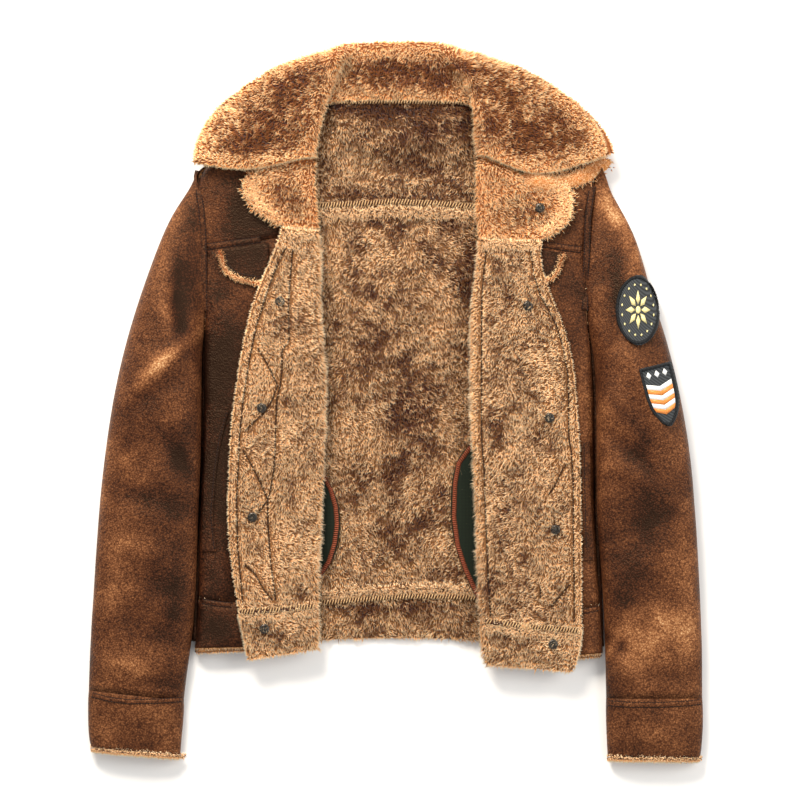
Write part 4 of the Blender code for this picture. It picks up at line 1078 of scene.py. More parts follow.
# Tone of the sleeves' suede: rubbed paler and darker in patches, and painted light along the folds,
# a painted highlight on a ridge and painted shade in the trough beside it.
SLEEVE_TONE = [
    (-232, 190, 60, 13, 74, -0.3),
    (-236, 100, 50, 14, 82, -0.26),
    (-262, 190, 50, 10, 58, 0.08),
    (-300, 60, 90, 16, 72, 0.1),
    (-258, 47, 44, 9, 41, 0.3),
    (-243, 112, 38, 9, 98, -0.2),
    (-262, 10, 50, 26, 60, -0.1),
    (-243, -62, 34, 10, -56, -0.16),
    (-300, -60, 30, 8, 30, 0.12),
    (-256, 222, 34, 9, 62, 0.14),
    (-246, -60, 40, 16, 70, -0.2),
    (-290, -200, 40, 60, 0, 0.13),
    (-330, -90, 60, 10, 80, 0.1),
    (-286, -120, 40, 24, 20, -0.08),
    (-262, -180, 60, 18, 80, -0.14),
    (-250, -230, 60, 12, 84, -0.24),
    (-322, -200, 90, 14, 86, 0.08),
    (-290, -300, 44, 12, 10, 0.06),
    (-250, -318, 26, 14, 0, -0.14),
    (-290, -366, 60, 16, 0, 0.06),
    (262, 190, 60, 18, -64, 0.22),
    (252, 120, 60, 10, -80, -0.2),
    (292, 100, 40, 18, -60, 0.12),
    (238, 222, 34, 9, -66, 0.2),
    (250, -258, 30, 7, 60, 0.16),
    (247, -271, 20, 4, -28, -0.34),
    (258, -282, 26, 7, -32, 0.18),
    (262, -22, 40, 6, -50, -0.16),
    (246, -84, 30, 5, 20, -0.14),
    (262, 20, 50, 20, -80, 0.02),
    (300, 10, 50, 16, -70, 0.1),
    (270, -70, 46, 20, 70, -0.16),
    (292, -110, 40, 22, 40, -0.22),
    (276, -160, 44, 24, 70, -0.22),
    (258, -200, 40, 18, 80, -0.18),
    (322, -120, 70, 12, -84, 0.1),
    (325, -230, 70, 12, -86, 0.16),
    (290, -262, 50, 34, 30, 0.22),
    (250, -290, 30, 14, 0, -0.1),
    (290, -370, 60, 18, 0, 0.14),
    (270, -10, 60, 60, 0, -0.05),
]
CUFF_END, CUFF_SHORT = -375, 3.6
CUFF_ENDS = {"R": (-344, -237), "L": (238, 345)}  # the x of both sides of a cuff's end
CUFF_ROW = 1.6  # a row of pile stands this far in from the suede's end
CUFF_MAT = {"sink": 0.4, "thick": 0.7}


def at_cuff_end(x, y):
    """Where the fleece shows past the suede of a cuff."""
    return y < CUFF_END


def cuff_shade(x, y):
    """The cuffs' pile is painted pale, a painted sheen where it is seen from its side."""
    return facing_light(x, y) * 0.4 + 0.75


# The wearer's left sleeve lies fuller at its shoulder: y, the armhole seam's x, how much wider.
SHOULDER = [
    (124, 214, 0),
    (142, 214.6, 3.5),
    (160, 215, 5.6),
    (187, 216, 9),
    (208, 217, 11),
    (223, 220, 11),
    (236, 222.5, 9),
    (250, 226, 6.5),
    (266, 226.5, 5),
]


def fuller(points):
    """The left shoulder's fullness, from nothing at the armhole seam. Its tip moves up too."""
    points = points.copy()
    x, y = plan_of(points)
    level, seam, wider = np.array(SHOULDER).T
    push = np.interp(y, level, wider)
    share = np.clip((x - np.interp(y, level, seam)) / 3.5, 0, 1)
    points[:, 0] += push * share * MM
    points[:, 1] += np.interp(y, (236, 262), (0, 10)) * np.clip((x - 215) / 6, 0, 1) * MM
    return points


sleeve_skins = {}
for node, (spot, flat, share) in SLEEVES.items():
    outside, inside = ((fuller(points), quads) for points, quads in two_sides(node, spot, 1.6))
    points, quads = outside
    x, y = plan_of(points)
    normals = normals_of(points, quads)
    top = np.clip(normals[:, 2] * 2, 0, 1)
    folds = creases(x, y, SLEEVE_CREASES)
    puff = np.maximum(1.9 * folds + 0.9 * drift(x, y, 24, 71), -1.7) * top
    points = points + normals * (puff * MM)[:, None]
    if "cuff" in node:
        points, line = cut_short(points, quads, CUFF_END, CUFF_SHORT)
    sleeve_skins[node] = (points, quads)
    tone = 0.53 + patches(x, y, SLEEVE_TONE) * (1 + 0.5 * drift(x, y, 16, 75))
    # the suede is painted paler on the folds' ridges and darker in their troughs, as painted light
    tone = tone + 0.08 * drift(x, y, 40, 72) + 0.1 * folds
    made, faces = shell(points, quads, SUEDE_THICK)
    skin = piece(node + "_suede", made, faces, suede, "suede", (node,), tone=np.tile(tone, 2))
    carried = []
    if "cuff" in node:
        light = facing_light(*plan_of(inside[0]))
        carried = [mat(node + "_mat", *inside, fleece, "fleece", light, **CUFF_MAT)]
        end = edge_tufts(*inside, 7.0, 73, cuff_shade, 4.2, 0.3, at_cuff_end)
        over = edge_tufts(*outside, 5.0, 74, cuff_shade, 4.6, 0.1, at_cuff_end)
        row = [(x, np.polyval(line, x) + CUFF_ROW) for x in np.linspace(*CUFF_ENDS[node[-1]], 12)]
        nap = ridge_tufts(surfaces(inside, outside), row, 8, 76, cuff_shade, 1.3, 3.2, -1.6)
        carried.append(pile(node + "_pile", [end, over, nap], fleece, "fleece"))
    area = flat[0] * flat[1] * share

# ------------------------------------------------------------------ collar
# Two leaves of fleece, back to back, on a folded stand. The leaf rolls over the stand and is
# spread over the shoulders. The stand's two ends are turned back below it.

# The collar's fleece is the body's, dyed a warmer orange and brushed more.
COLLAR_PALE, COLLAR_RUST = ("#5A2A12", "#CC8340", "#FFE4B4"), ("#48200E", "#A24C1E", "#E8964C")
collar_fleece = fleece_finish("Collar fleece", COLLAR_PALE, COLLAR_RUST)
# Patches of the collar's pile: rust where it lies turned, pale on the stand's ends, and painted
# light, a painted highlight along the top of the collar's roll and painted shade in the trough
# under it.
COLLAR_TURNED_AND_LIT = [
    (-140, 318, 30, 13, 66, -0.5),
    (-150, 296, 22, 15, 0, -0.42),
    (-122, 350, 26, 12, 50, -0.34),
    (-166, 282, 26, 8, 10, -0.3),
    (-190, 280, 14, 7, 0, -0.25),
    (-128, 280, 20, 6, 30, -0.35),
    (136, 318, 34, 14, -66, -0.42),
    (150, 300, 30, 14, -30, -0.4),
    (118, 356, 26, 11, -56, -0.32),
    (170, 326, 22, 10, -40, -0.3),
    (180, 286, 26, 8, -10, -0.32),
    (206, 300, 16, 10, 0, -0.2),
    (0, 372, 70, 13, 0, -0.55),
    (-30, 352, 40, 8, 0, -0.3),
    (40, 354, 40, 8, 0, -0.3),
    (-116, 228, 16, 9, -40, -0.45),
    (-158, 238, 16, 22, 0, 0.5),
    (-122, 212, 24, 6, -20, 0.2),
    (126, 216, 24, 13, 0, -0.4),
    (150, 206, 18, 9, 0, -0.25),
    (104, 240, 8, 24, 0, 0.12),
    (136, 256, 36, 7, -32, 0.42),
    (180, 226, 20, 26, 0, 0.42),
    (0, 397, 110, 9, 0, 0.5),
]
COLLAR_CREASES = [
    (-200, 276, -120, 276, 7, 1.2),
    (-190, 292, -150, 330, 9, -1.2),
    (-120, 300, -100, 350, 8, 1.0),
    (-150, 350, -120, 330, 9, 1.0),
    (120, 268, 168, 290, 7, -1.3),
    (150, 262, 226, 292, 6, 1.2),
    (166, 326, 200, 300, 9, -1.1),
    (110, 340, 130, 300, 8, 1.1),
    (-60, 372, 60, 374, 9, -1.0),
    (-70, 352, 70, 352, 6, 1.1),
]


def collar_light(x, y):
    """How pale the collar's pile is, more so on the stand's ends, painted darker in the troughs of
    its creases and paler on their ridges, as painted shade and painted highlight.
    """
    field = 0.46 + 0.34 * drift(x, y, 20, 81) + 0.22 * drift(x, y, 9, 82) + 0.3 * (y < 262)
    return field + patches(x, y, COLLAR_TURNED_AND_LIT) + 0.16 * creases(x, y, COLLAR_CREASES)


def collar_lay(x, y):
    """The collar's pile is brushed down, and outwards along its leaves."""
    return -math.pi / 2 + 0.006 * x + 1.2 * drift(x, y, 34, 83)


def collar_keep(x, y, up):
    """Little pile is drawn on the side that faces the floor."""
    return np.where(up[:, 2] > -0.1, 1.0, 0.1)


def collar_edge(x, y):
    """The pile is painted paler at the collar's edge, a painted sheen where it is seen from its
    side.
    """
    return collar_light(x, y) * 0.5 + 0.65


# a point of the upper side, the wall for two_sides, the slot, tufts for each square millimetre,
# the flat cut's width and length in metres, and its area in square metres
COLLAR_PARTS = {
    "collar_upper": ((-150, 318), 2.4, "collar_fleece", 0.5, (0.62, 0.15), 0.060),
    "collar_under": ((-150, 318), 2.4, "collar_fleece", 0.0, (0.62, 0.15), 0.056),
    "collar_stand_R": ((-135, 235), 1.35, "fleece", 0.44, (0.10, 0.07), 0.0066),
    "collar_stand_L": ((140, 235), 1.35, "fleece", 0.44, (0.125, 0.075), 0.0092),
}
COLLAR_SINK, COLLAR_THICK = 1.0, 2.6
shown = {node: two_sides(node, spot, wall)[0] for node, (spot, wall, *_) in COLLAR_PARTS.items()}
for node, (_, _, slot, density, flat, area) in COLLAR_PARTS.items():
    points, quads = shown[node]
    points = ruffled(points, quads, COLLAR_CREASES, 1.0, 93)
    light = collar_light(*plan_of(points)) + pile_sheen_of(points, quads, 12, 0.9)
    skin = mat(
        node + "_mat", points, quads, collar_fleece, slot, light, COLLAR_SINK, COLLAR_THICK, (node,)
    )
    groups = [edge_tufts(points, quads, 3.4, 91, collar_edge, 5.0, 0.7)]
    if density:
        face = (points, quads, density, 92, collar_keep, light, collar_lay)
        groups.append(tufts(*face, sink=COLLAR_SINK))
    nap = pile(node + "_pile", groups, collar_fleece, slot)

# On the wearer's left the under leaf shows below the upper one, as a second rolled edge.
UNDER_LEAF = [(237, 276), (232, 268), (223, 261.5), (211, 254), (198, 250), (184, 247), (170, 246),
              (156, 249), (144, 255)]
LEAF_WIDE, LEAF_HIGH, LEAF_RISE = 17.0, 5.0, 2.6
CURL_SINK = -0.8  # curled pile starts a little inside its edge


def settled(rows, times=6):
    """Rows of points with the steps in their height smoothed away."""
    rows = np.array(rows)
    for _ in range(times):
        rows[..., 1:-1, 2] = (rows[..., :-2, 2] + 2 * rows[..., 1:-1, 2] + rows[..., 2:, 2]) / 4
    return rows


under = surfaces(shown["collar_stand_L"], *sleeve_skins.values(), *front_skins.values())
rolled = settled([laid(under, paced(UNDER_LEAF, 3.0)[0], LEAF_RISE)], 12)
leaf = cords(rolled, LEAF_WIDE, LEAF_HIGH, 8)
piece("collar_under_edge", *leaf, collar_fleece, "collar_fleece", height=0.4, light=0.7)
curls = ridge_tufts(surfaces(leaf), UNDER_LEAF, 18, 88, even(1.0), 4.4, 5.0, CURL_SINK)
pile("collar_under_edge_pile", [curls], collar_fleece, "collar_fleece")

# The free ends of the collar's stand curl up and show long cream pile.
COLLAR_ENDS = {
    "R": [(-150, 258), (-162, 251), (-167, 241), (-163, 229), (-153, 217), (-140, 208),
          (-130, 202)],
    "L": [(168, 247), (182, 243), (191, 234), (193, 222), (189, 208), (178, 197), (166, 189)],
}
for side, line in COLLAR_ENDS.items():
    stand = surfaces(shown["collar_stand_" + side])
    curls = ridge_tufts(stand, line, 9, 98, even(1.05), 3.2, 6.4, CURL_SINK)
    pile("collar_end_" + side + "_pile", [curls], collar_fleece, "fleece")

# ------------------------------------------------------------------ pockets
# Chest pockets have a flap of the bonded cloth, hand pockets a suede welt. Their bags of
# green pocketing hang loose inside and show past the fronts, overlocked in rust thread.

CUT_EDGE = 0.7  # how sharp a cut edge of a small piece stays, from 0 to 1
TRIM_FINENESS = 3


def whole(node, levels=CLOTH_FINENESS):
    """A smooth copy of a small CAD piece, with its cut edges kept sharp."""
    return smoothed(solid_of(node), levels, CUT_EDGE)


for side in "RL":
    for part, dark in (("pocket_flap_", -0.2), ("pocket_welt_", -0.12)):
        node = part + side
        points, quads = whole(node, TRIM_FINENESS)
        tone = 0.5 + dark + patches(*plan_of(points), BODY_TONE) * 0.6
        piece(node + "_suede", points, quads, suede, "suede", (node,), tone=tone)

# The flaps' pile shows all round them. Thread runs round the flaps and down the welts.
FLAP_EDGES = {
    "R": [(-199, 171), (-195.5, 162), (-193.5, 151), (-187, 143), (-175.5, 138), (-164, 135),
          (-148, 133)],
    "L": [(189, 168), (185, 157.5), (182, 148), (176, 140), (168, 136), (150, 133)],
}
POCKET_ROWS = {
    "R": [[(-191, 166), (-188.5, 155), (-182, 147), (-170, 143), (-150, 140.5)],
          [(-190.5, -11), (-199, -43), (-204.4, -76), (-208.4, -127), (-204.6, -166)]],
    "L": [[(181, 165), (178, 155), (173, 147), (164, 142.5), (152, 140)],
          [(211.4, -46), (211.8, -80), (212.8, -120), (213.8, -165)]],
}


FLAP_PILE_WIDE, FLAP_PILE_HIGH, FLAP_PILE_RISE = 4.4, 3.2, 2.4
TOPSTITCH_PITCH, TOPSTITCH_HIGH = 3.2, 0.9


def flap_light(x, y):
    """The flaps' pile is darker at their tops, in the shade of the yoke."""
    return 0.5 - 0.014 * (y - 150) + 0.4 * drift(x, y, 9, 99)


def topstitched(name, trees, lines, wide=1.3, rise=0.25):
    """Rows of brown topstitches over the suede."""
    rows = [stitches(trees, line, TOPSTITCH_PITCH, rise) for line in lines]
    made = [cords(row, wide, TOPSTITCH_HIGH) for row in rows]
    gathered(name + "_stitches", made, brown_thread, "overlock")


for side, line in FLAP_EDGES.items():
    flap, front = "pocket_flap_" + side, front_skins["front_panel_" + side]
    rolled = settled([laid(surfaces(front), paced(line, 2.0)[0], FLAP_PILE_RISE)])
    edge = cords(rolled, FLAP_PILE_WIDE, FLAP_PILE_HIGH, 8)
    piece(flap + "_fleece", *edge, collar_fleece, "fleece", height=0.4, light=0.2)
    nap = ridge_tufts(surfaces(edge), line, 9, 96, flap_light, 1.3, 3.6, -0.6)
    pile(flap + "_pile", [nap], collar_fleece, "fleece")
    over = surfaces(front, whole(flap), whole("pocket_welt_" + side))
    topstitched("pocket_" + side, over, POCKET_ROWS[side], 1.2)

# Plain-woven cotton pocketing, dyed a dark green and dull all over. Its threads are 0.4 mm
# apart and are drawn at 1.6 mm, so that they show.
POCKETING_THREAD = 1.6
WAVE = 1000 * math.pi / 10  # scale of a wave whose bands are 1 mm apart
pocketing, tree, shader = finish_of("Plain woven pocketing")
place = add(tree, "TexCoord").outputs["Object"]
spaced = {"Vector": place, "Scale": WAVE / POCKETING_THREAD}
warp, weft = (add(tree, "TexWave", spaced, bands_direction=way) for way in "XY")
woven = add(tree, "Math", {0: warp.outputs["Fac"], 1: weft.outputs["Fac"]}, operation="MULTIPLY")
weave = woven.outputs[0]
green = add(tree, "ValToRGB", {"Fac": weave}, stops=[(0.0, "#090E07"), (1.0, "#1F2C19")])
raised = add(tree, "Bump", {"Height": weave, "Strength": 0.5, "Distance": 0.3 * MM})
tree.links.new(green.outputs["Color"], shader.inputs["Base Color"])
tree.links.new(raised.outputs["Normal"], shader.inputs["Normal"])
shader.inputs["Roughness"].default_value = 0.8
shader.inputs["Specular IOR Level"].default_value = 0.2
# the overlocked free edge of each bag, from its top
BAG_EDGES = {
    "R": [(-82, -78), (-72.5, -96), (-66, -118), (-64.6, -138), (-67.4, -160), (-74, -181),
          (-87, -200)],
    "L": [(83, -49), (69, -68), (64.6, -92), (63.4, -130), (67.6, -162), (77, -190), (90, -218),
          (97, -234)],
}
BAG_FLAT, BAG_AREAS = (0.09, 0.19), {"R": 0.0112, "L": 0.0155}  # metres, square metres
BAG_PITCH, BAG_THREAD = 2.3, (1.5, 0.9)
# a thread over the bag's edge: how far in from it, how far along, and its height over the cloth
BAG_STITCH = [(-0.4, 0.0, 0.4), (1.0, 0.4, 1.1), (3.0, 0.8, 1.0), (4.4, 1.1, 0.2)]
# Spun polyester overlock thread in rust, the twin of the tan one.
rust_thread = thread_finish("Rust overlock thread", "#5E2412", "#AE5A3A")
for side, area in BAG_AREAS.items():
    node = "pocket_bag_" + side
    face = whole(node)
    bag = piece(node + "_cloth", *face, pocketing, "pocketing", (node,))
    trees = surfaces(face)
    spots, ways = paced(BAG_EDGES[side], BAG_PITCH)
    inward = np.column_stack([-ways[:, 1], ways[:, 0]])
    inward *= np.sign(inward[:, :1] * spots[:, :1])  # away from the middle of the jacket
    rows = [
        laid(trees, spots + inward * reach + ways * slip, rise) for reach, slip, rise in BAG_STITCH
    ]
    threads = [cords(np.stack(rows, 1), *BAG_THREAD)]
    binding = gathered(node + "_binding", threads, rust_thread, "overlock")

# ------------------------------------------------------------------ armhole strips
# A narrow strip of suede, felled over the front of each armhole seam. It covers the seam's
# raw layers and is topstitched along both of its edges.

STRIP_WIDE, STRIP_HIGH, STRIP_ROWS = 8.8, 2.6, (-2.8, 2.8)
STRIPS = {
    "R": [(-222, 262), (-224, 254), (-222, 236), (-219, 218), (-216.8, 190), (-216.4, 170),
          (-216, 140), (-215.4, 100)],
    "L": [(223, 262), (225, 254), (219.6, 236), (215.6, 208), (214.6, 171), (213.4, 146),
          (212.6, 120), (212.6, 102)],
}


def beside(line, pitch, away):
    """A flat line moved sideways."""
    spots, ways = paced(line, pitch)
    return spots + np.column_stack([-ways[:, 1], ways[:, 0]]) * away


suede_trees = surfaces(*front_skins.values(), *sleeve_skins.values())
for side, line in STRIPS.items():
    node = "armhole_strip_" + side
    middle = settled([laid(suede_trees, paced(line, 3.0)[0], 0.7)], 10)
    strip = cords(middle, STRIP_WIDE, STRIP_HIGH, 8)
    piece(node + "_suede", *strip, suede, "suede", (node,), tone=0.4)
    rows = [beside(line[1:], 3.0, away) for away in STRIP_ROWS]
    topstitched(node, surfaces(strip), rows, rise=0.3)

# ------------------------------------------------------------------ felled seams of the suede
# Outside, the yokes, hem bands and cuffs are felled: the seam's layers make a low ridge, held
# by a row of brown topstitches along both of its sides.

FELLED_HIGH, FELLED_RISE = 2.0, 0.1
FELLED_SEAMS = {  # width of the ridge, and its line
    "front_yoke_seam_R": (7.0, [(-213, 174.5), (-180, 179), (-150, 183)]),
    "front_yoke_seam_L": (7.0, [(163, 178), (190, 173.5), (210, 171)]),
    "front_hem_seam_R": (5.6, [(-219.5, -224), (-203, -226.5), (-184, -228.5)]),
    "front_hem_seam_L": (5.6, [(208, -236), (218, -234), (228, -232)]),
    "cuff_seam_R": (
        5.2,
        [(-343, -329), (-322, -334), (-300, -336.5), (-270, -336), (-240, -334.5)],
    ),
    "cuff_seam_L": (
        6.0,
        [(237.5, -338.5), (262, -340), (300, -340), (330, -338.5), (344, -337)],
    ),
}
for name, (wide, line) in FELLED_SEAMS.items():
    middle = settled([laid(suede_trees, paced(line, 2.5)[0], FELLED_RISE)], 4)
    ridge = cords(middle, wide, FELLED_HIGH, 8)
    table = SLEEVE_TONE if "cuff" in name else BODY_TONE
    tone = 0.52 + patches(*plan_of(ridge[0]), table)
    piece(name, *ridge, suede, "suede", tone=tone)
    rows = [beside(line, 2.0, away) for away in (-wide / 2 + 0.4, wide / 2 - 0.4)]
    topstitched(name, surfaces(ridge) + suede_trees, rows)

# Under the arm the body folds from its front to its back, low between front and sleeve. Its
# suede is drawn almost black there, as painted shade in that low gap.
FOLD_WIDE, FOLD_DEEP, FOLD_MIDDLE = 8.0, 11.0, 6.5
SIDE_FOLDS = {
    "R": [(-215, 120), (-216, 40), (-217.5, -60), (-219, -120), (-223, -180), (-226, -230),
          (-227, -272)],
    "L": [(218, 110), (221, 60), (225, 0), (226.5, -60), (227, -120), (228, -180), (230, -240),
          (231, -276)],
}
for side, line in SIDE_FOLDS.items():
    spots = paced(line, 4.0)[0] * MM
    fold = np.column_stack([spots, np.full(len(spots), FOLD_MIDDLE * MM)])
    folded = cords([fold], FOLD_WIDE, FOLD_DEEP, 8)
    piece("side_fold_" + side, *folded, suede, "suede", tone=0.22)

# ------------------------------------------------------------------ press studs
# Nine studs, turned and pressed from brass and set through both layers of the fronts. Each
# shows as a ring with a sunk socket.

# Brass plated dark, then rubbed: it is glossier and paler where hands have worn it, in
# spots of about 2.5 mm.
STUD_WEAR = 2.5
gunmetal, tree, shader = finish_of("Gunmetal plated brass")
place = add(tree, "TexCoord").outputs["Object"]
wear = add(tree, "TexNoise", {"Vector": place, "Scale": 1000 / STUD_WEAR, "Detail": 4})
wear = wear.outputs["Fac"]
plated = add(tree, "ValToRGB", {"Fac": wear}, stops=[(0.3, "#2E2B29"), (0.75, "#6E6963")])
rough = add(tree, "MapRange", {"Value": wear, "To Min": 0.25, "To Max": 0.45})
tree.links.new(plated.outputs["Color"], shader.inputs["Base Color"])
tree.links.new(rough.outputs["Result"], shader.inputs["Roughness"])
shader.inputs["Metallic"].default_value = 1.0
# the turned profile from the rim of the socket's floor out to the foot: radius as a share of
# the stud's, height above its foot
STUD_TURNED = [(0.14, 0.6), (0.2, 1.9), (0.34, 1.9), (0.42, 0.7), (0.55, 0.7), (0.62, 2.5),
               (0.72, 2.95), (0.84, 2.8), (0.96, 1.9), (1.0, 0.6), (1.0, 0.0)]
STUD_SIDES, STUD_SHARP = 28, math.radians(50)
for node in sorted(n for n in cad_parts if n.startswith("press_stud_")):
    low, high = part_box(node)
    middle, radius = (low + high) / 2, (high.x - low.x) / 2
    points, faces = [], []
    for share, height in STUD_TURNED:
        for k in range(STUD_SIDES):
            turn, reach = 2 * math.pi * k / STUD_SIDES, radius * share
            x, y = middle.x + reach * math.cos(turn), middle.y + reach * math.sin(turn)
            points.append((x, y, low.z + height * MM))
    top, foot = len(points), len(points) + 1
    points += [(middle.x, middle.y, low.z + STUD_TURNED[0][1] * MM), (middle.x, middle.y, low.z)]
    last = (len(STUD_TURNED) - 1) * STUD_SIDES
    for k in range(STUD_SIDES):
        n = (k + 1) % STUD_SIDES
        faces.append((top, k, n))
        for ring in range(0, last, STUD_SIDES):
            after = ring + STUD_SIDES
            faces.append((ring + k, after + k, after + n, ring + n))
        faces.append((foot, last + n, last + k))
    stud = piece(node + "_metal", points, faces, gunmetal, "gunmetal", (node,))
    stud.data.set_sharp_from_angle(angle=STUD_SHARP)

# ------------------------------------------------------------------ sleeve patches
# Two embroidered patches on the left sleeve: charcoal twill with satin-stitched motifs, its
# cut edge wrapped all round in merrowing thread, and then sewn down.

# Polyester twill, dull, with slanted ribs 0.7 mm apart that are drawn at 1.6 mm to show.
TWILL_RIB = 1.6
twill, tree, shader = finish_of("Charcoal twill")
place = add(tree, "TexCoord").outputs["Object"]
slanted = {"Vector": place, "Scale": WAVE / TWILL_RIB, "Distortion": 0.5}
rib = add(tree, "TexWave", slanted, bands_direction="DIAGONAL").outputs["Fac"]
ground = add(tree, "ValToRGB", {"Fac": rib}, stops=[(0.0, "#17191B"), (1.0, "#3A3E40")])
ribs = add(tree, "Bump", {"Height": rib, "Strength": 0.5, "Distance": 0.3 * MM})
tree.links.new(ground.outputs["Color"], shader.inputs["Base Color"])
tree.links.new(ribs.outputs["Normal"], shader.inputs["Normal"])
shader.inputs["Roughness"].default_value = 0.85
# Merrowing thread is matt polyester. The motifs are rayon floss, which shines like silk.
merrow = thread_finish("Charcoal merrowing thread", "#08090A", "#1E2124")
gold_silk = thread_finish("Pale gold rayon floss", "#C9B56A", "#F4EAB4", 0.4)
white_silk = thread_finish("White rayon floss", "#D8D8D4", "#FBFBF8", 0.4)
orange_silk = thread_finish("Orange rayon floss", "#C5702C", "#F09A4E", 0.4)
PATCH_RISE, SATIN_THICK = 0.15, 0.7
MERROW_WIDE, MERROW_PITCH, MERROW_THREAD = 3.0, 1.5, (1.5, 0.9)


def satin(name, shapes, trees, material):
    """Satin stitch: each flat outline becomes a closed raised block laid on its patch."""
    points, faces = [], []
    for shape in shapes:
        shape = np.array(shape)
        after = np.roll(shape, -1, axis=0)
        if (shape[:, 0] * after[:, 1] - after[:, 0] * shape[:, 1]).sum() < 0:
            shape = shape[::-1]
        first, n = len(points), len(shape)
        points += [*laid(trees, shape, PATCH_RISE + SATIN_THICK), *laid(trees, shape, -PATCH_RISE)]
        faces.append([first + k for k in range(n)])
        faces.append([first + n + k for k in reversed(range(n))])
        for k in range(n):
            m = (k + 1) % n
            faces.append([first + k, first + n + k, first + n + m, first + m])
    return piece(name, points, faces, material, "badge_cloth")


def edged(name, outline, trees):
    """The merrowed edge of a patch, all round its outline."""
    rows = overlock(trees, [*outline, outline[0]], MERROW_WIDE, MERROW_PITCH, 0.3, 97)
    gathered(name, [cords(rows, *MERROW_THREAD)], merrow, "badge_cloth")


for node in ("patch_round", "patch_shield"):
    piece(node + "_twill", *whole(node), twill, "badge_cloth", (node,))

# The round patch: a rosette of eight petals inside a ring of dots, a plain old ornament.
low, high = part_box("patch_round")
MIDDLE = ((low.x + high.x) / 2 / MM, (low.y + high.y) / 2 / MM)
HALF = ((high.x - low.x) / 2 / MM, (high.y - low.y) / 2 / MM)
# corners of a petal and of a dot: a turn from its middle line, and a share of the radius
PETAL = [(0, 0.14), (-0.3, 0.32), (0, 0.56), (0.3, 0.32)]
DOT = [(-0.07, 0.72), (0, 0.68), (0.07, 0.72), (0, 0.76)]
HEART, ROUND_EDGE = 0.11, 0.93


def on_round(turn, reach):
    """A spot of the round patch, at a turn round its middle and a share of its radius."""
    return (
        MIDDLE[0] + HALF[0] * reach * math.cos(turn),
        MIDDLE[1] + HALF[1] * reach * math.sin(turn),
    )


trees = surfaces(whole("patch_round"))
petals = [[on_round(math.pi * k / 4 + turn, reach) for turn, reach in PETAL] for k in range(8)]
heart = [on_round(math.pi * k / 6, HEART) for k in range(12)]
dots = [
    [on_round(math.pi * (k + 0.5) / 8 + turn, reach) for turn, reach in DOT] for k in range(16)
]
satin("patch_round_rosette", [*petals, heart], trees, gold_silk)
satin("patch_round_dots", dots, trees, gold_silk)
edged("patch_round_edge", [on_round(math.pi * k / 20, ROUND_EDGE) for k in range(40)], trees)

# The shield: three small diamonds over chevrons that alternate white and orange.
SHIELD_MIDDLE, SHIELD_TILT, SHIELD_HALF = (297.5, 8.0), math.radians(14), 18.5
SHIELD_MARGIN = 2.4
# height over the shield's middle, and its half width there as a share of SHIELD_HALF
SHIELD_SIDE = [(32, 0.93), (14, 0.93), (0, 0.92), (-12, 0.83), (-22, 0.63), (-30, 0.36),
               (-34, 0.08)]


def on_shield(x, y):
    """A spot of the shield, from x and y along its own axes."""
    c, t = math.cos(SHIELD_TILT), math.sin(SHIELD_TILT)
    return (SHIELD_MIDDLE[0] + x * c - y * t, SHIELD_MIDDLE[1] + x * t + y * c)


def half_at(y):
    """Half the width of the shield's motifs at a height, inside its margin."""
    heights, shares = zip(*sorted(SHIELD_SIDE))
    return SHIELD_HALF * float(np.interp(y, heights, shares)) - SHIELD_MARGIN


trees = surfaces(whole("patch_shield"))
outline = [on_shield(SHIELD_HALF * wide, y) for y, wide in SHIELD_SIDE]
outline += [on_shield(-SHIELD_HALF * wide, y) for y, wide in reversed(SHIELD_SIDE)]
edged("patch_shield_edge", outline, trees)
CHEVRON_TOP, CHEVRON_DEEP, CHEVRON_DROP, CHEVRON_LEAST = 15, 5.4, 5.0, 1.5
DIAMOND_HALF, DIAMOND_HIGH, DIAMOND_LEVEL, DIAMOND_PITCH = 3, 4.2, 24, 9.5
chevrons = [], []
for k in range(6):
    top = CHEVRON_TOP - CHEVRON_DEEP * k
    for sign in (-1, 1):
        wide, narrow = half_at(top) * sign, half_at(top - CHEVRON_DEEP) * sign
        corners = [
            (0, top - CHEVRON_DROP),
            (wide, top),
            (narrow, top - CHEVRON_DEEP),
            (0, top - CHEVRON_DROP - CHEVRON_DEEP),
        ]
        if min(abs(wide), abs(narrow)) > CHEVRON_LEAST:
            chevrons[k % 2].append([on_shield(*corner) for corner in corners])
satin("patch_shield_white", chevrons[0], trees, white_silk)
satin("patch_shield_orange", chevrons[1], trees, orange_silk)
diamonds = [
    [
        on_shield(x - DIAMOND_HALF, DIAMOND_LEVEL),
        on_shield(x, DIAMOND_LEVEL - DIAMOND_HIGH),
        on_shield(x + DIAMOND_HALF, DIAMOND_LEVEL),
        on_shield(x, DIAMOND_LEVEL + DIAMOND_HIGH),
    ]
    for x in (-DIAMOND_PITCH, 0, DIAMOND_PITCH)
]
satin("patch_shield_diamonds", diamonds, trees, white_silk)

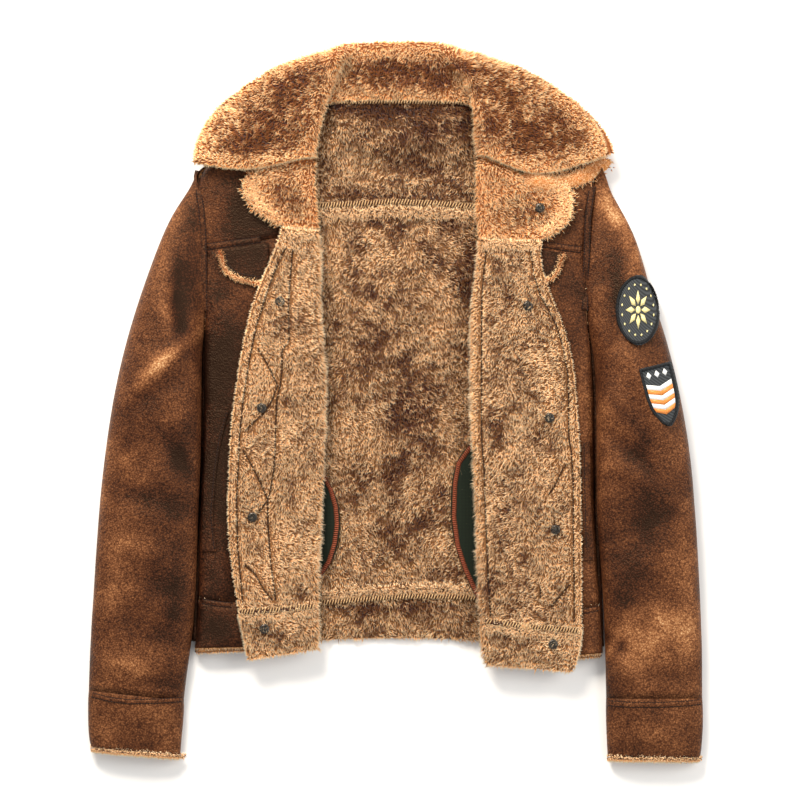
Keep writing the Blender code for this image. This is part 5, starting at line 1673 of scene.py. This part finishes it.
# ------------------------------------------------------------------ floor, light and camera
# A pale seamless floor, a large soft light from the upper left, and a long lens overhead.
# The camera looks straight down, as the photograph does.

FLOOR_HALF, FLOOR_DROP = 4.0, 0.6 * MM  # just under the jacket, so that no faces coincide
mesh = bpy.data.meshes.new("floor")
corners = [(x * FLOOR_HALF, y * FLOOR_HALF, 0) for x, y in ((-1, -1), (1, -1), (1, 1), (-1, 1))]
mesh.from_pydata(corners, [], [(0, 1, 2, 3)])
floor = bpy.data.objects.new("floor", mesh)
floor.location.z = -FLOOR_DROP
bpy.context.scene.collection.objects.link(floor)
# Matt white paper.
paper, tree, shader = finish_of("White paper")
shader.inputs["Base Color"].default_value = linear("#F4F3F1")
shader.inputs["Roughness"].default_value = 0.9
mesh.materials.append(paper)

LIGHTS = [  # name, place and size in metres, power in watts, colour
    ("key", (-0.8, 2.1, 1.9), 1.1, 140, "#FFF6EA"),
    ("fill", (1.8, 0.4, 2.0), 1.4, 34, "#FFFCF8"),
]
for name, spot, size, power, colour in LIGHTS:
    lamp = bpy.data.lights.new(name, "AREA")
    lamp.size, lamp.energy, lamp.color = size, power, linear(colour)[:3]
    holder = bpy.data.objects.new(name, lamp)
    holder.location = spot
    holder.rotation_euler = (-Vector(spot)).to_track_quat("-Z", "Y").to_euler()
    bpy.context.scene.collection.objects.link(holder)
world = bpy.data.worlds.new("studio")
world.use_nodes = True
background = world.node_tree.nodes["Background"]
background.inputs["Color"].default_value = linear("#FFFFFF")
background.inputs["Strength"].default_value = 0.65
bpy.context.scene.world = world

# metres across the picture, the lens in millimetres, and the picture's middle
FRAME_WIDTH, LENS, CENTRE = 0.9, 200.0, (4.5 * MM, 2.25 * MM)
camera = bpy.data.objects.new("camera", bpy.data.cameras.new("camera"))
camera.data.lens = LENS
camera.location = (*CENTRE, FRAME_WIDTH * LENS / camera.data.sensor_width + 20 * MM)
camera.data.clip_end = 20
bpy.context.scene.collection.objects.link(camera)
bpy.context.scene.camera = camera
bpy.context.scene.view_settings.view_transform = "Standard"
